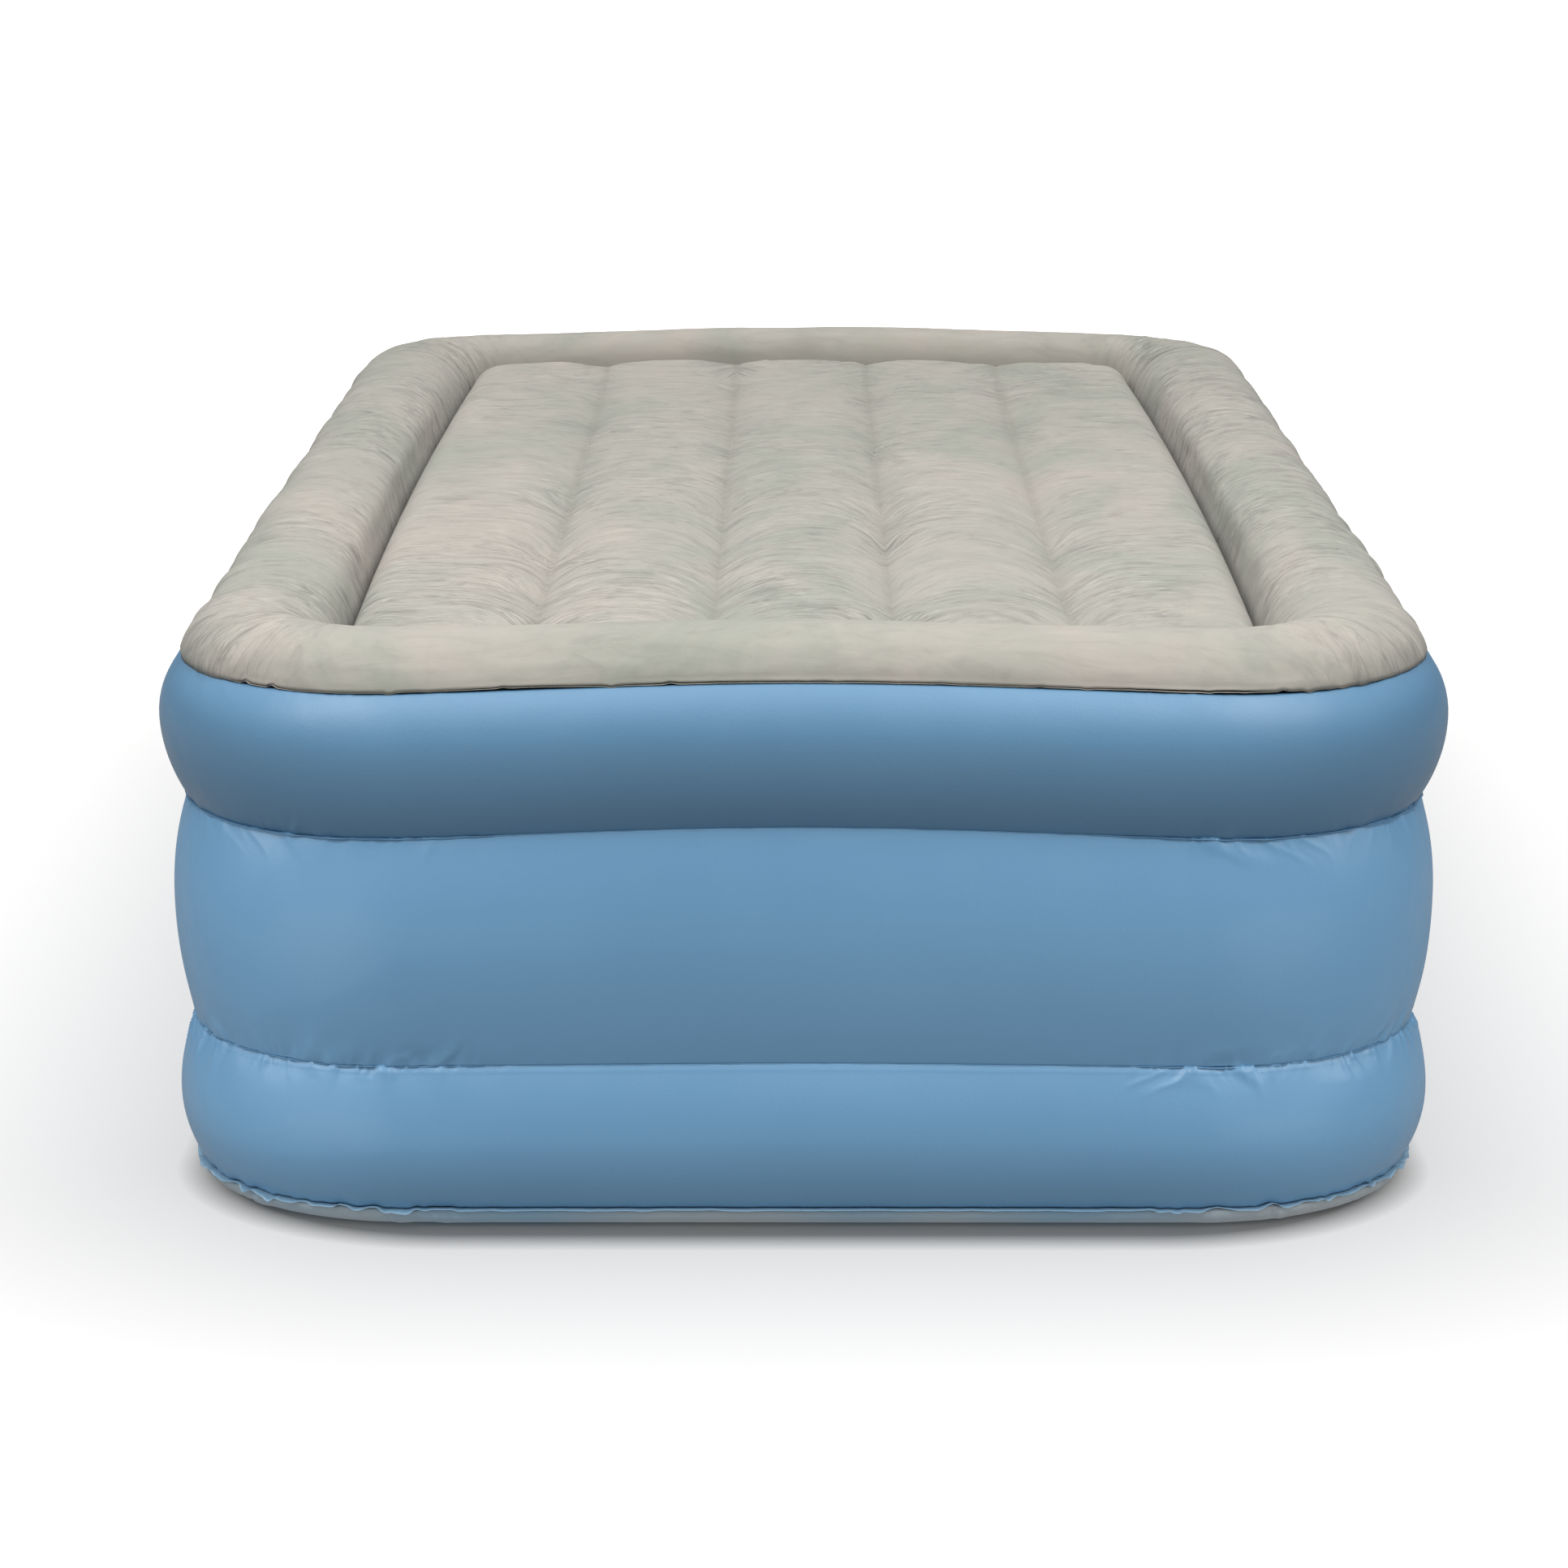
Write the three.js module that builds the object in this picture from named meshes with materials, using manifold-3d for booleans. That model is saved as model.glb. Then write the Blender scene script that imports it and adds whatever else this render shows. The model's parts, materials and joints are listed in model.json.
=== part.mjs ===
// A raised twin air bed: three stacked blue side tiers, a flocked border tube round a channelled
// sleeping panel, the sheets and tension beams inside, and an electric pump let into the head end.
// Millimetres, +Z up, +Y towards the head end. The origin is on the floor under the bed's centre.
import * as THREE from "three";
import { mergeVertices } from "three/addons/utils/BufferGeometryUtils.js";
import Module from "manifold-3d";

const wasm = await Module();
wasm.setup();

// ---------------------------------------------------------------- driving dimensions
const WIDTH = 990;
const LENGTH = 1900;
const SHEET = 3; // thickness of every sheet; it stands in for 0.45 mm vinyl
const GAP = 0.3; // left between pieces that meet
const CORNER = 196; // plan corner radius at the widest line
const INNER_CORNER = 60; // plan corner radius where the border meets the sleeping panel
const CORNER_STEPS = 5;
const ARC_STEPS = 4; // steps in each half of a tier's bulge

// Heights above the floor and insets from the widest line: [inset, height].
const HEM = [-21, 14];
const LOWER_CROWN = [-8.7, 69];
const LOWER_WELD = [-22, 127];
const MIDDLE_CROWN = [-6.5, 228];
const UPPER_WELD = [-20, 305];
const UPPER_CROWN = [0, 366.5];
const TOP_SEAM = [-19, 415.5];
const BORDER_TOP = [-80, 450];
const BORDER_FOOT = [-136, 388];
const FLOOR_EDGE = -48; // inset of the edge of the flat that rests on the floor

// The sleeping panel's channels.
const CHANNEL_SEAMS = [-210, -70, 70, 210];
const CHANNEL_PITCH = 140;
const SEAM_HEIGHT = 402;
const CROWN_HEIGHT = 430;
const CHANNEL_STEPS = 6;

// The pump, in its own frame: x right and y up as seen from behind the bed, z out of the bed.
const PUMP_AT = new THREE.Vector3(-170, 940, 216);
const PLATE = { halfWidth: 105, halfHeight: 66, corner: 22, thick: 4 };
const HOUSING = { halfWidth: 96, halfHeight: 57, corner: 14, wall: 2.5, back: -138 };
const RIM = { halfWidth: 104, halfHeight: 65, corner: 21, front: -7, back: -10 };
const FLANGE = { halfWidth: 115, halfHeight: 76, corner: 30, front: -4.3, back: -6.7 };
const BAY = { x: -44, halfWidth: 45, halfHeight: 48, corner: 7, back: -60, wall: 1.8 };
const DIAL = { x: 54, y: 15, radius: 28, front: 9.6 };
const VENTS = { count: 12, from: 31, to: 38, halfWidth: 1.8 };
const SWITCH = { x: 54, y: -40, halfWidth: 15.5, halfHeight: 7.5, body: -24, tilt: 0.16 };
const DUCT = { halfWidth: 28, low: -28, high: 36, front: -92, back: -135.2, wall: 2 };
const MOTOR = { z: -98, radius: 24, from: -88, to: -38 };
const FAN = { radius: 28, from: -27.5, to: -10 };
const SCREWS = [[94, 55], [-94, 55], [-94, -55], [94, -55]];
const VALVE_TRAVEL = 8; // of the stem, for a quarter turn of the dial
const HINGE = { x: -90.6, z: 3, pin: 1.3, bore: 1.6, barrel: 2.6 };

// ---------------------------------------------------------------- materials
const paint = (color, roughness, metalness = 0) =>
  new THREE.MeshStandardMaterial({ color, roughness, metalness });
const FLOCK = paint(0xc2bdb1, 0.95);
const BLUE_VINYL = paint(0x5f8db4, 0.42);
const BASE_VINYL = paint(0x6f8391, 0.5);
const INNER_VINYL = paint(0x8fa9bd, 0.5);
const SHELL_PLASTIC = paint(0x3b4752, 0.45);
const DIAL_PLASTIC = paint(0xd4d6d4, 0.4);
const BLACK_PLASTIC = paint(0x1c1e20, 0.5);
const RUBBER = paint(0x26282a, 0.8);
const STEEL = paint(0xb9bcc0, 0.3, 1);
const COPPER_LEAD = paint(0x8c2f28, 0.5);

// ---------------------------------------------------------------- geometry helpers
function solidOf(geometry) {
  const plain = geometry.index ? geometry.toNonIndexed() : geometry.clone();
  plain.deleteAttribute("normal");
  plain.deleteAttribute("uv");
  const merged = mergeVertices(plain, 1e-3);
  return new wasm.Manifold(
    new wasm.Mesh({
      numProp: 3,
      vertProperties: new Float32Array(merged.attributes.position.array),
      triVerts: new Uint32Array(merged.index.array),
    }),
  );
}

function geometryOf(solid) {
  const mesh = solid.getMesh();
  const geometry = new THREE.BufferGeometry();
  geometry.setAttribute("position", new THREE.BufferAttribute(mesh.vertProperties, 3));
  geometry.setIndex(new THREE.BufferAttribute(mesh.triVerts, 1));
  geometry.computeVertexNormals();
  return geometry;
}

const cut = (geometry, ...tools) =>
  geometryOf(tools.reduce((solid, tool) => solid.subtract(solidOf(tool)), solidOf(geometry)));
const join = (...pieces) =>
  geometryOf(pieces.map(solidOf).reduce((whole, piece) => whole.add(piece)));
const common = (a, b) => geometryOf(solidOf(a).intersect(solidOf(b)));

// A skin over sections, each a loop of points. It closes on its first section, or is capped.
function skin(sections, closed) {
  const count = sections[0].length;
  const points = sections.flat();
  const faces = [];
  const last = closed ? sections.length : sections.length - 1;
  for (let s = 0; s < last; s++) {
    const here = s * count;
    const next = ((s + 1) % sections.length) * count;
    for (let i = 0; i < count; i++) {
      const j = (i + 1) % count;
      faces.push(here + i, here + j, next + j, here + i, next + j, next + i);
    }
  }
  if (!closed) {
    const end = (sections.length - 1) * count;
    for (let i = 1; i < count - 1; i++) {
      faces.push(0, i + 1, i, end, end + i, end + i + 1);
    }
  }
  const geometry = new THREE.BufferGeometry().setFromPoints(points);
  geometry.setIndex(faces);
  geometry.computeVertexNormals();
  return geometry;
}

// The bed's plan outline at an inset (negative is inwards), anticlockwise seen from above.
function planLoop([inset, height]) {
  const tightening = (CORNER - INNER_CORNER) / -BORDER_FOOT[0];
  const radius = CORNER + inset * (inset < 0 ? tightening : 1);
  const cornerX = WIDTH / 2 + inset - radius;
  const cornerY = LENGTH / 2 + inset - radius;
  const loop = [];
  for (let quarter = 0; quarter < 4; quarter++) {
    const sideX = quarter === 0 || quarter === 3 ? 1 : -1;
    const sideY = quarter < 2 ? 1 : -1;
    for (let step = 0; step <= CORNER_STEPS; step++) {
      const angle = ((quarter + step / CORNER_STEPS) * Math.PI) / 2;
      loop.push(
        new THREE.Vector3(
          sideX * cornerX + radius * Math.cos(angle),
          sideY * cornerY + radius * Math.sin(angle),
          height,
        ),
      );
    }
  }
  return loop;
}

// A ring or a plate that follows the plan outline, from a list of [inset, height].
const planRing = (section) => skin(section.map(planLoop), true);
const planPlate = (levels) => skin(levels.map(planLoop), false);

// The inset of a bulge at a height, on a circle that stands upright at the crown and passes the end.
function bulge(height, crown, end) {
  const rise = end[1] - crown[1];
  const fall = crown[0] - end[0];
  const radius = (rise * rise + fall * fall) / (2 * fall);
  return crown[0] - radius + Math.sqrt(radius * radius - (height - crown[1]) ** 2);
}

// A side tier's ring section: its outer line up from one weld to the next, and back inside it.
function tierSection(low, crown, high) {
  const outer = [];
  const bottom = low[1] + SHEET / 2 + GAP;
  const top = high[1] - SHEET / 2 - GAP;
  for (let i = 0; i <= ARC_STEPS; i++) {
    const height = bottom + ((crown[1] - bottom) * i) / ARC_STEPS;
    outer.push([bulge(height, crown, low), height]);
  }
  for (let i = 1; i <= ARC_STEPS; i++) {
    const height = crown[1] + ((top - crown[1]) * i) / ARC_STEPS;
    outer.push([bulge(height, crown, high), height]);
  }
  const inner = outer.map(([inset, height]) => [inset - SHEET, height]).reverse();
  return [...outer, ...inner];
}

// The points of an arc about (x, y), from one angle to another.
function arcPoints(radius, x, y, from, to, steps) {
  const points = [];
  for (let i = 0; i <= steps; i++) {
    const angle = from + ((to - from) * i) / steps;
    points.push(new THREE.Vector2(x + radius * Math.cos(angle), y + radius * Math.sin(angle)));
  }
  return points;
}

function roundedRectangle(halfWidth, halfHeight, corner, x = 0, y = 0, Kind = THREE.Shape) {
  const quarters = [[1, 1], [-1, 1], [-1, -1], [1, -1]];
  const points = quarters.flatMap(([sideX, sideY], quarter) => {
    const cornerX = x + sideX * (halfWidth - corner);
    const cornerY = y + sideY * (halfHeight - corner);
    const from = (quarter * Math.PI) / 2;
    return arcPoints(corner, cornerX, cornerY, from, from + Math.PI / 2, 3);
  });
  return new Kind(points);
}

function circle(radius, x = 0, y = 0, Kind = THREE.Path, sides = 12) {
  return new Kind(arcPoints(radius, x, y, 0, Math.PI * 2, sides).slice(1));
}

// A shape extruded along z between two heights.
function prism(shape, from, to) {
  const geometry = new THREE.ExtrudeGeometry(shape, { depth: to - from, bevelEnabled: false });
  return geometry.translate(0, 0, from);
}

function box(x0, x1, y0, y1, z0, z1) {
  const geometry = new THREE.BoxGeometry(x1 - x0, y1 - y0, z1 - z0);
  return geometry.translate((x0 + x1) / 2, (y0 + y1) / 2, (z0 + z1) / 2);
}

// A solid turned about z from a closed or on-axis profile of [radius, z], as listed bottom up outside.
function turned(profile, segments = 16) {
  const points = profile.map(([radius, z]) => new THREE.Vector2(radius, z));
  return new THREE.LatheGeometry(points, segments).rotateX(Math.PI / 2);
}

// The same about x, with the profile given as [radius, x].
const turnedAlongX = (profile, segments) => turned(profile, segments).rotateY(Math.PI / 2);

const wire = (points, radius) => {
  const path = new THREE.CatmullRomCurve3(points.map((p) => new THREE.Vector3(...p)));
  return new THREE.ExtrudeGeometry(circle(radius, 0, 0, THREE.Shape, 6), {
    steps: 14,
    bevelEnabled: false,
    extrudePath: path,
  });
};

function part(name, geometry, material, parent, x = 0, y = 0, z = 0) {
  const mesh = new THREE.Mesh(geometry, material);
  mesh.name = name;
  mesh.position.set(x, y, z);
  parent.add(mesh);
  return mesh;
}

// ---------------------------------------------------------------- the air chamber
function borderSection() {
  const [crownInset, crownHeight] = BORDER_TOP;
  const seamRise = 10.5; // the outer arc springs from this far under the seam
  const arc = (shrink) => {
    const points = [];
    const outerRise = crownHeight - TOP_SEAM[1] + seamRise - shrink;
    const start = Math.asin(seamRise / outerRise);
    const outerReach = (TOP_SEAM[0] - crownInset) / Math.cos(start) - shrink;
    for (let i = 0; i <= ARC_STEPS; i++) {
      const angle = start + ((Math.PI / 2 - start) * i) / ARC_STEPS;
      points.push([
        crownInset + outerReach * Math.cos(angle),
        TOP_SEAM[1] - seamRise + outerRise * Math.sin(angle) + GAP,
      ]);
    }
    const innerReach = crownInset - BORDER_FOOT[0] - shrink;
    const innerRise = crownHeight - BORDER_FOOT[1] - shrink;
    for (let i = 1; i <= ARC_STEPS + 1; i++) {
      const angle = (Math.PI / 2) * (1 + i / (ARC_STEPS + 1));
      points.push([
        crownInset + innerReach * Math.cos(angle),
        BORDER_FOOT[1] + innerRise * Math.sin(angle) + GAP,
      ]);
    }
    return points;
  };
  return [...arc(0), ...arc(SHEET).reverse()];
}

// The channelled panel: a cap with a wall all round, under the border's inner outline.
// Its top is a cross-section swept along the bed, in arcs between the channel seams.
function sleepingPanel() {
  const inset = BORDER_FOOT[0] - 1;
  const edge = WIDTH / 2 + inset;
  const rise = CROWN_HEIGHT - SEAM_HEIGHT;
  const sideReach = 65; // from the outermost seam to the crown of the half channel beside it
  const sideCrown = CHANNEL_SEAMS[3] + sideReach;
  const under = (shrink) => {
    const top = [];
    const add = (x, z) => top.push(new THREE.Vector2(x, z - shrink));
    const sag = (ratio) => CROWN_HEIGHT - rise * ratio ** 2;
    for (let i = 0; i < 3; i++) {
      add(sideCrown - (sideReach * i) / 3, sag(i / 3));
    }
    for (let channel = 2; channel >= 0; channel--) {
      for (let i = 0; i < CHANNEL_STEPS; i++) {
        const along = 1 - i / CHANNEL_STEPS;
        add(CHANNEL_SEAMS[channel] + CHANNEL_PITCH * along, sag(2 * along - 1));
      }
    }
    for (let i = 0; i <= 3; i++) {
      add(CHANNEL_SEAMS[0] - (sideReach * i) / 3, sag(1 - i / 3));
    }
    const reach = edge - shrink - sideCrown;
    const low = BORDER_FOOT[1] - 2 * shrink;
    const shoulder = (side) =>
      arcPoints(1, 0, 0, 0, Math.PI / 2, 5).map(
        ({ x, y }) =>
          new THREE.Vector2(
            side * (sideCrown + reach * x),
            low + (CROWN_HEIGHT - shrink - low) * y,
          ),
      );
    const right = shoulder(1).slice(0, -1);
    const left = shoulder(-1).slice(0, -1).reverse();
    const section = new THREE.Shape([...right, ...top, ...left]);
    const swept = prism(section, -LENGTH / 2, LENGTH / 2).rotateX(Math.PI / 2);
    const outline = inset - shrink;
    return common(swept, planPlate([[outline, low - 20], [outline, CROWN_HEIGHT + 20]]));
  };
  return cut(under(0), under(SHEET));
}

// A tension beam: a web with a welded foot along each edge, standing lengthways in the bed.
function beam(bottom, top, from, to) {
  const web = SHEET / 2; // half its thickness
  const foot = 9; // half the foot's width
  const footThick = 2;
  const half = [
    [foot, bottom], [foot, bottom + footThick], [web, bottom + footThick],
    [web, top - footThick], [foot, top - footThick], [foot, top],
  ];
  const mirrored = half.map(([x, z]) => [-x, z]).reverse();
  const section = new THREE.Shape([...half, ...mirrored].map((p) => new THREE.Vector2(...p)));
  return prism(section, -to, -from).rotateX(Math.PI / 2);
}

const bed = new THREE.Group();

function airChamber() {
  part("border_ring", planRing(borderSection()), FLOCK, bed);
  part("sleeping_panel", sleepingPanel(), FLOCK, bed);
  const upper = tierSection(UPPER_WELD, UPPER_CROWN, [TOP_SEAM[0], TOP_SEAM[1] - 1]);
  part("upper_side_band", planRing(upper), BLUE_VINYL, bed);
  const window = roundedRectangle(FLANGE.halfWidth + 0.5, FLANGE.halfHeight + 0.5, FLANGE.corner);
  const windowTool = prism(window, 0, 60)
    .rotateX(Math.PI / 2)
    .translate(PUMP_AT.x, LENGTH / 2 + 10, PUMP_AT.z);
  const middle = planRing(tierSection(LOWER_WELD, MIDDLE_CROWN, UPPER_WELD));
  part("middle_side_band", cut(middle, windowTool), BLUE_VINYL, bed);
  const lower = tierSection([HEM[0], HEM[1] + 1], LOWER_CROWN, LOWER_WELD);
  part("lower_side_band", planRing(lower), BLUE_VINYL, bed);

  // Weld flanges: narrow lips that stand out where the sheets are sealed together.
  const lip = (inner, outer, low, high) => [[outer, low], [outer, high], [inner, high], [inner, low]];
  const seamLow = TOP_SEAM[1] - 2 - GAP;
  part("top_weld_flange", planRing(lip(-22, -12, seamLow, TOP_SEAM[1] - GAP)), FLOCK, bed);
  part("hem_weld_flange", planRing(lip(-25, -12, HEM[1] - 1.2, HEM[1] + 1.6)), BLUE_VINYL, bed);
  const rimTop = HEM[1] - 1.2 - GAP;
  const base = [
    [FLOOR_EDGE, 0], [HEM[0] - 1, rimTop - 1], [HEM[0] - 1, rimTop],
    [HEM[0] - 1 - SHEET, rimTop], [FLOOR_EDGE - SHEET, SHEET],
  ];
  part("base_sheet", planPlate(base), BASE_VINYL, bed);

  // The sheets across the bed at the two side welds. Air passes through the upper one's holes.
  const deckLow = UPPER_WELD[1] - SHEET / 2;
  const deck = planPlate([[UPPER_WELD[0], deckLow], [UPPER_WELD[0], deckLow + SHEET]]);
  const airHoles = [-560, 0, 560].flatMap((y) =>
    [-140, 140].map((x) => prism(circle(22, x, y, THREE.Shape), deckLow - 5, deckLow + 10)),
  );
  part("upper_deck_sheet", cut(deck, ...airHoles), INNER_VINYL, bed);
  const girdleLow = LOWER_WELD[1] - SHEET / 2;
  const girdle = lip(LOWER_WELD[0] - 128, LOWER_WELD[0], girdleLow, girdleLow + SHEET);
  part("lower_girdle_sheet", planRing(girdle), INNER_VINYL, bed);

  CHANNEL_SEAMS.forEach((x, i) => {
    const deckTop = deckLow + SHEET;
    const upperBeam = beam(deckTop + GAP, SEAM_HEIGHT - SHEET - GAP, -700, 700);
    part(`upper_beam_${i + 1}`, upperBeam, INNER_VINYL, bed, x);
    const lowerBeam = beam(SHEET + GAP, deckLow - GAP, -700, 640);
    part(`lower_beam_${i + 1}`, lowerBeam, INNER_VINYL, bed, x);
  });
}

// ---------------------------------------------------------------- the pump
const pump = new THREE.Group();
pump.position.copy(PUMP_AT);
pump.quaternion.setFromRotationMatrix(
  new THREE.Matrix4().makeBasis(
    new THREE.Vector3(-1, 0, 0),
    new THREE.Vector3(0, 0, 1),
    new THREE.Vector3(0, 1, 0),
  ),
);
bed.add(pump);

const screwHoles = (radius) => SCREWS.map(([x, y]) => circle(radius, x, y));

// Webs of a hinge joined to its eye, a short tube round the door's pin. It lies along y.
function hingeEye(halfLength, ...webs) {
  const along = (radius, half) =>
    turned([[0, -half], [radius, -half], [radius, half], [0, half]], 12).rotateX(Math.PI / 2);
  return cut(join(along(HINGE.barrel, halfLength), ...webs), along(HINGE.bore, halfLength + 1));
}

function frontPlate() {
  const { halfWidth, halfHeight, corner, thick } = PLATE;
  const shape = roundedRectangle(halfWidth, halfHeight, corner);
  const slack = 1.8; // round the switch's body
  shape.holes.push(
    roundedRectangle(BAY.halfWidth, BAY.halfHeight, BAY.corner, BAY.x, 0, THREE.Path),
    roundedRectangle(
      SWITCH.halfWidth + slack, SWITCH.halfHeight + slack, 2, SWITCH.x, SWITCH.y, THREE.Path,
    ),
    circle(5.8, DIAL.x, DIAL.y),
    ...screwHoles(1.9),
  );
  const { from, to } = VENTS;
  const slot = [[from, -1], [to, -1], [to, 1], [from, 1]];
  for (let i = 0; i < VENTS.count; i++) {
    const centre = new THREE.Vector2(DIAL.x, DIAL.y);
    const angle = (i / VENTS.count) * Math.PI * 2;
    const corners = slot.map(([along, side]) =>
      new THREE.Vector2(along, side * VENTS.halfWidth).rotateAround(new THREE.Vector2(), angle),
    );
    shape.holes.push(new THREE.Path(corners.map((point) => point.add(centre))));
  }
  // The door's hinge ears stand on the plate at the two ends of the pin.
  const ears = [-1, 1].map((side) => {
    const post = box(-HINGE.barrel, -1, -3, 3, -HINGE.z - 0.5, 0);
    return hingeEye(3, post).translate(HINGE.x, side * 40, HINGE.z);
  });
  return join(prism(shape, -thick, 0), ...ears);
}

function cordBayDoor() {
  const clearance = 0.5;
  const low = -3.2;
  const high = -0.2;
  const panel = prism(
    roundedRectangle(BAY.halfWidth - clearance, BAY.halfHeight - clearance, BAY.corner, BAY.x),
    low, high,
  );
  const leaf = box(2.4, 9, -8, 8, low - HINGE.z + 0.5, 0.9);
  const bridge = box(1, 4, -8, 8, -1.2, 0.9);
  const eyes = [-22, 22].map((y) => hingeEye(8, leaf, bridge).translate(HINGE.x, y, HINGE.z));
  const pull = prism(roundedRectangle(3, 13, 2.5, BAY.x + 38), -0.5, 2.6);
  const freeEdge = BAY.x + BAY.halfWidth;
  const cordNotch = box(freeEdge - 9, freeEdge + 5, -36, -26, low - 1, high + 1);
  return cut(join(panel, ...eyes, pull), cordNotch);
}

// The dial's cam: a ramp that pushes the stem's follower in by VALVE_TRAVEL over a quarter turn.
function dialSpindle() {
  const rod = turned([[0, -44], [14, -44], [14, -38], [5, -38], [5, 0.2], [0, 0.2]], 16);
  const ramp = [];
  const steps = 10;
  for (let i = 0; i <= steps; i++) {
    const turn = (i / steps) * 1.75;
    const lag = 0.25; // the follower's own half width, in radians
    const depth = Math.max(0.2, (VALVE_TRAVEL * (turn - lag)) / (Math.PI / 2));
    const angle = Math.PI - turn;
    const at = (radius, z) => new THREE.Vector3(radius * Math.cos(angle), radius * Math.sin(angle), z);
    ramp.push([at(7, -44 - depth), at(13.5, -44 - depth), at(13.5, -43), at(7, -43)]);
  }
  return join(rod, skin(ramp, false));
}

function valveStem() {
  const rod = turned(
    [[0, -145], [6, -145], [6, -142.7], [2.5, -142.7], [2.5, -61], [13, -61], [13, -58], [0, -58]], 12,
  );
  const follower = prism(circle(1.8, -10, 0, THREE.Shape, 8), -59, -44.6);
  return join(rod, follower);
}

function impeller() {
  const plate = turnedAlongX(
    [[2.8, FAN.from], [FAN.radius, FAN.from], [FAN.radius, FAN.from + 2], [6, FAN.from + 2],
      [6, FAN.to], [2.8, FAN.to], [2.8, FAN.from]], 24,
  );
  const blades = [];
  const bladeCount = 9;
  for (let i = 0; i < bladeCount; i++) {
    const blade = box(FAN.from + 1, FAN.to, 5.4, FAN.radius - 1, -0.7, 0.7);
    blades.push(blade.rotateX((i / bladeCount) * Math.PI * 2));
  }
  return join(plate, ...blades).translate(0, 0, MOTOR.z);
}

// The fan's drum: an air inlet in its open face, and a spout over to the valve's duct.
function fanVolute() {
  const drum = turnedAlongX(
    [[9, -31], [34, -31], [34, -6], [16, -6], [16, -8], [31.5, -8], [31.5, -29], [9, -29], [9, -31]], 20,
  );
  const ductFace = DIAL.x - DUCT.halfWidth - GAP;
  const spout = box(-31, ductFace, 27, 48, -22, 2);
  const aboveDrum = box(-8, ductFace + 5, 36, 46, -20, 0);
  const overFan = box(-29, -8, 20, 46, -20, 0);
  const drumHollow = turnedAlongX([[0, -29], [31.5, -29], [31.5, -8], [0, -8]], 20);
  const beyondDrum = box(-5.9, ductFace + 1, 20, 34, -30, 10);
  const trimmed = solidOf(spout).subtract(solidOf(beyondDrum)).subtract(solidOf(drumHollow));
  const solid = solidOf(drum).add(trimmed).subtract(solidOf(aboveDrum)).subtract(solidOf(overFan));
  return geometryOf(solid).translate(0, 0, MOTOR.z);
}

// The duct round the stem's inner half: the fan blows into its side, and it opens at the valve.
function valveDuct() {
  const { halfWidth, low, high, front, back, wall } = DUCT;
  const outside = box(-halfWidth, halfWidth, low, high, back, front);
  const hollow = box(wall - halfWidth, halfWidth - wall, low + wall, high - wall, back - 5, front - wall);
  const stemBore = prism(circle(3, 0, 0, THREE.Shape), back, front + 5);
  const spoutMouth = 21; // the spout's lower edge over the dial's centre
  const inlet = box(-halfWidth - 5, 0, spoutMouth, high - wall, MOTOR.z - 20, MOTOR.z);
  return cut(outside, hollow, stemBore, inlet);
}

class Helix extends THREE.Curve {
  constructor(radius, from, to, turns) {
    super();
    Object.assign(this, { radius, from, to, turns });
  }
  getPoint(t, target = new THREE.Vector3()) {
    const angle = t * this.turns * Math.PI * 2;
    const z = this.from + (this.to - this.from) * t;
    return target.set(this.radius * Math.cos(angle), this.radius * Math.sin(angle), z);
  }
}

function pumpCase() {
  const flange = roundedRectangle(FLANGE.halfWidth, FLANGE.halfHeight, FLANGE.corner);
  flange.holes.push(
    roundedRectangle(HOUSING.halfWidth + 1, HOUSING.halfHeight + 1, HOUSING.corner + 1, 0, 0, THREE.Path),
    ...screwHoles(2),
  );
  part("socket_flange", prism(flange, FLANGE.back, FLANGE.front), BLUE_VINYL, pump);

  const gasket = roundedRectangle(HOUSING.halfWidth + 0.5, HOUSING.halfHeight + 0.5, HOUSING.corner);
  gasket.holes.push(
    roundedRectangle(HOUSING.halfWidth - 3.5, HOUSING.halfHeight - 3.5, HOUSING.corner - 3, 0, 0, THREE.Path),
  );
  part("face_gasket", prism(gasket, FLANGE.back, FLANGE.front), RUBBER, pump);
  part("front_plate", frontPlate(), SHELL_PLASTIC, pump);

  const { halfWidth, halfHeight, corner, wall, back } = HOUSING;
  const outside = prism(roundedRectangle(halfWidth, halfHeight, corner), back, RIM.front);
  const rim = roundedRectangle(RIM.halfWidth, RIM.halfHeight, RIM.corner);
  rim.holes.push(...screwHoles(1.9));
  const hollow = prism(
    roundedRectangle(halfWidth - wall, halfHeight - wall, corner - wall), back + wall, 5,
  );
  const port = prism(circle(22, DIAL.x, DIAL.y, THREE.Shape, 20), back - 5, back + 5);
  const shell = cut(join(outside, prism(rim, RIM.back, RIM.front)), hollow, port);
  part("pump_housing", shell, SHELL_PLASTIC, pump);

  SCREWS.forEach(([x, y], i) => {
    const screw = turned([[0, -14], [1.6, -14], [1.6, GAP], [3.6, GAP], [2.8, 2.2], [0, 2.2]], 10);
    const slot = box(-2.2, 2.2, -0.5, 0.5, 1.2, 4);
    part(`plate_screw_${i + 1}`, cut(screw, slot), STEEL, pump, x, y);
  });
}

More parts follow.
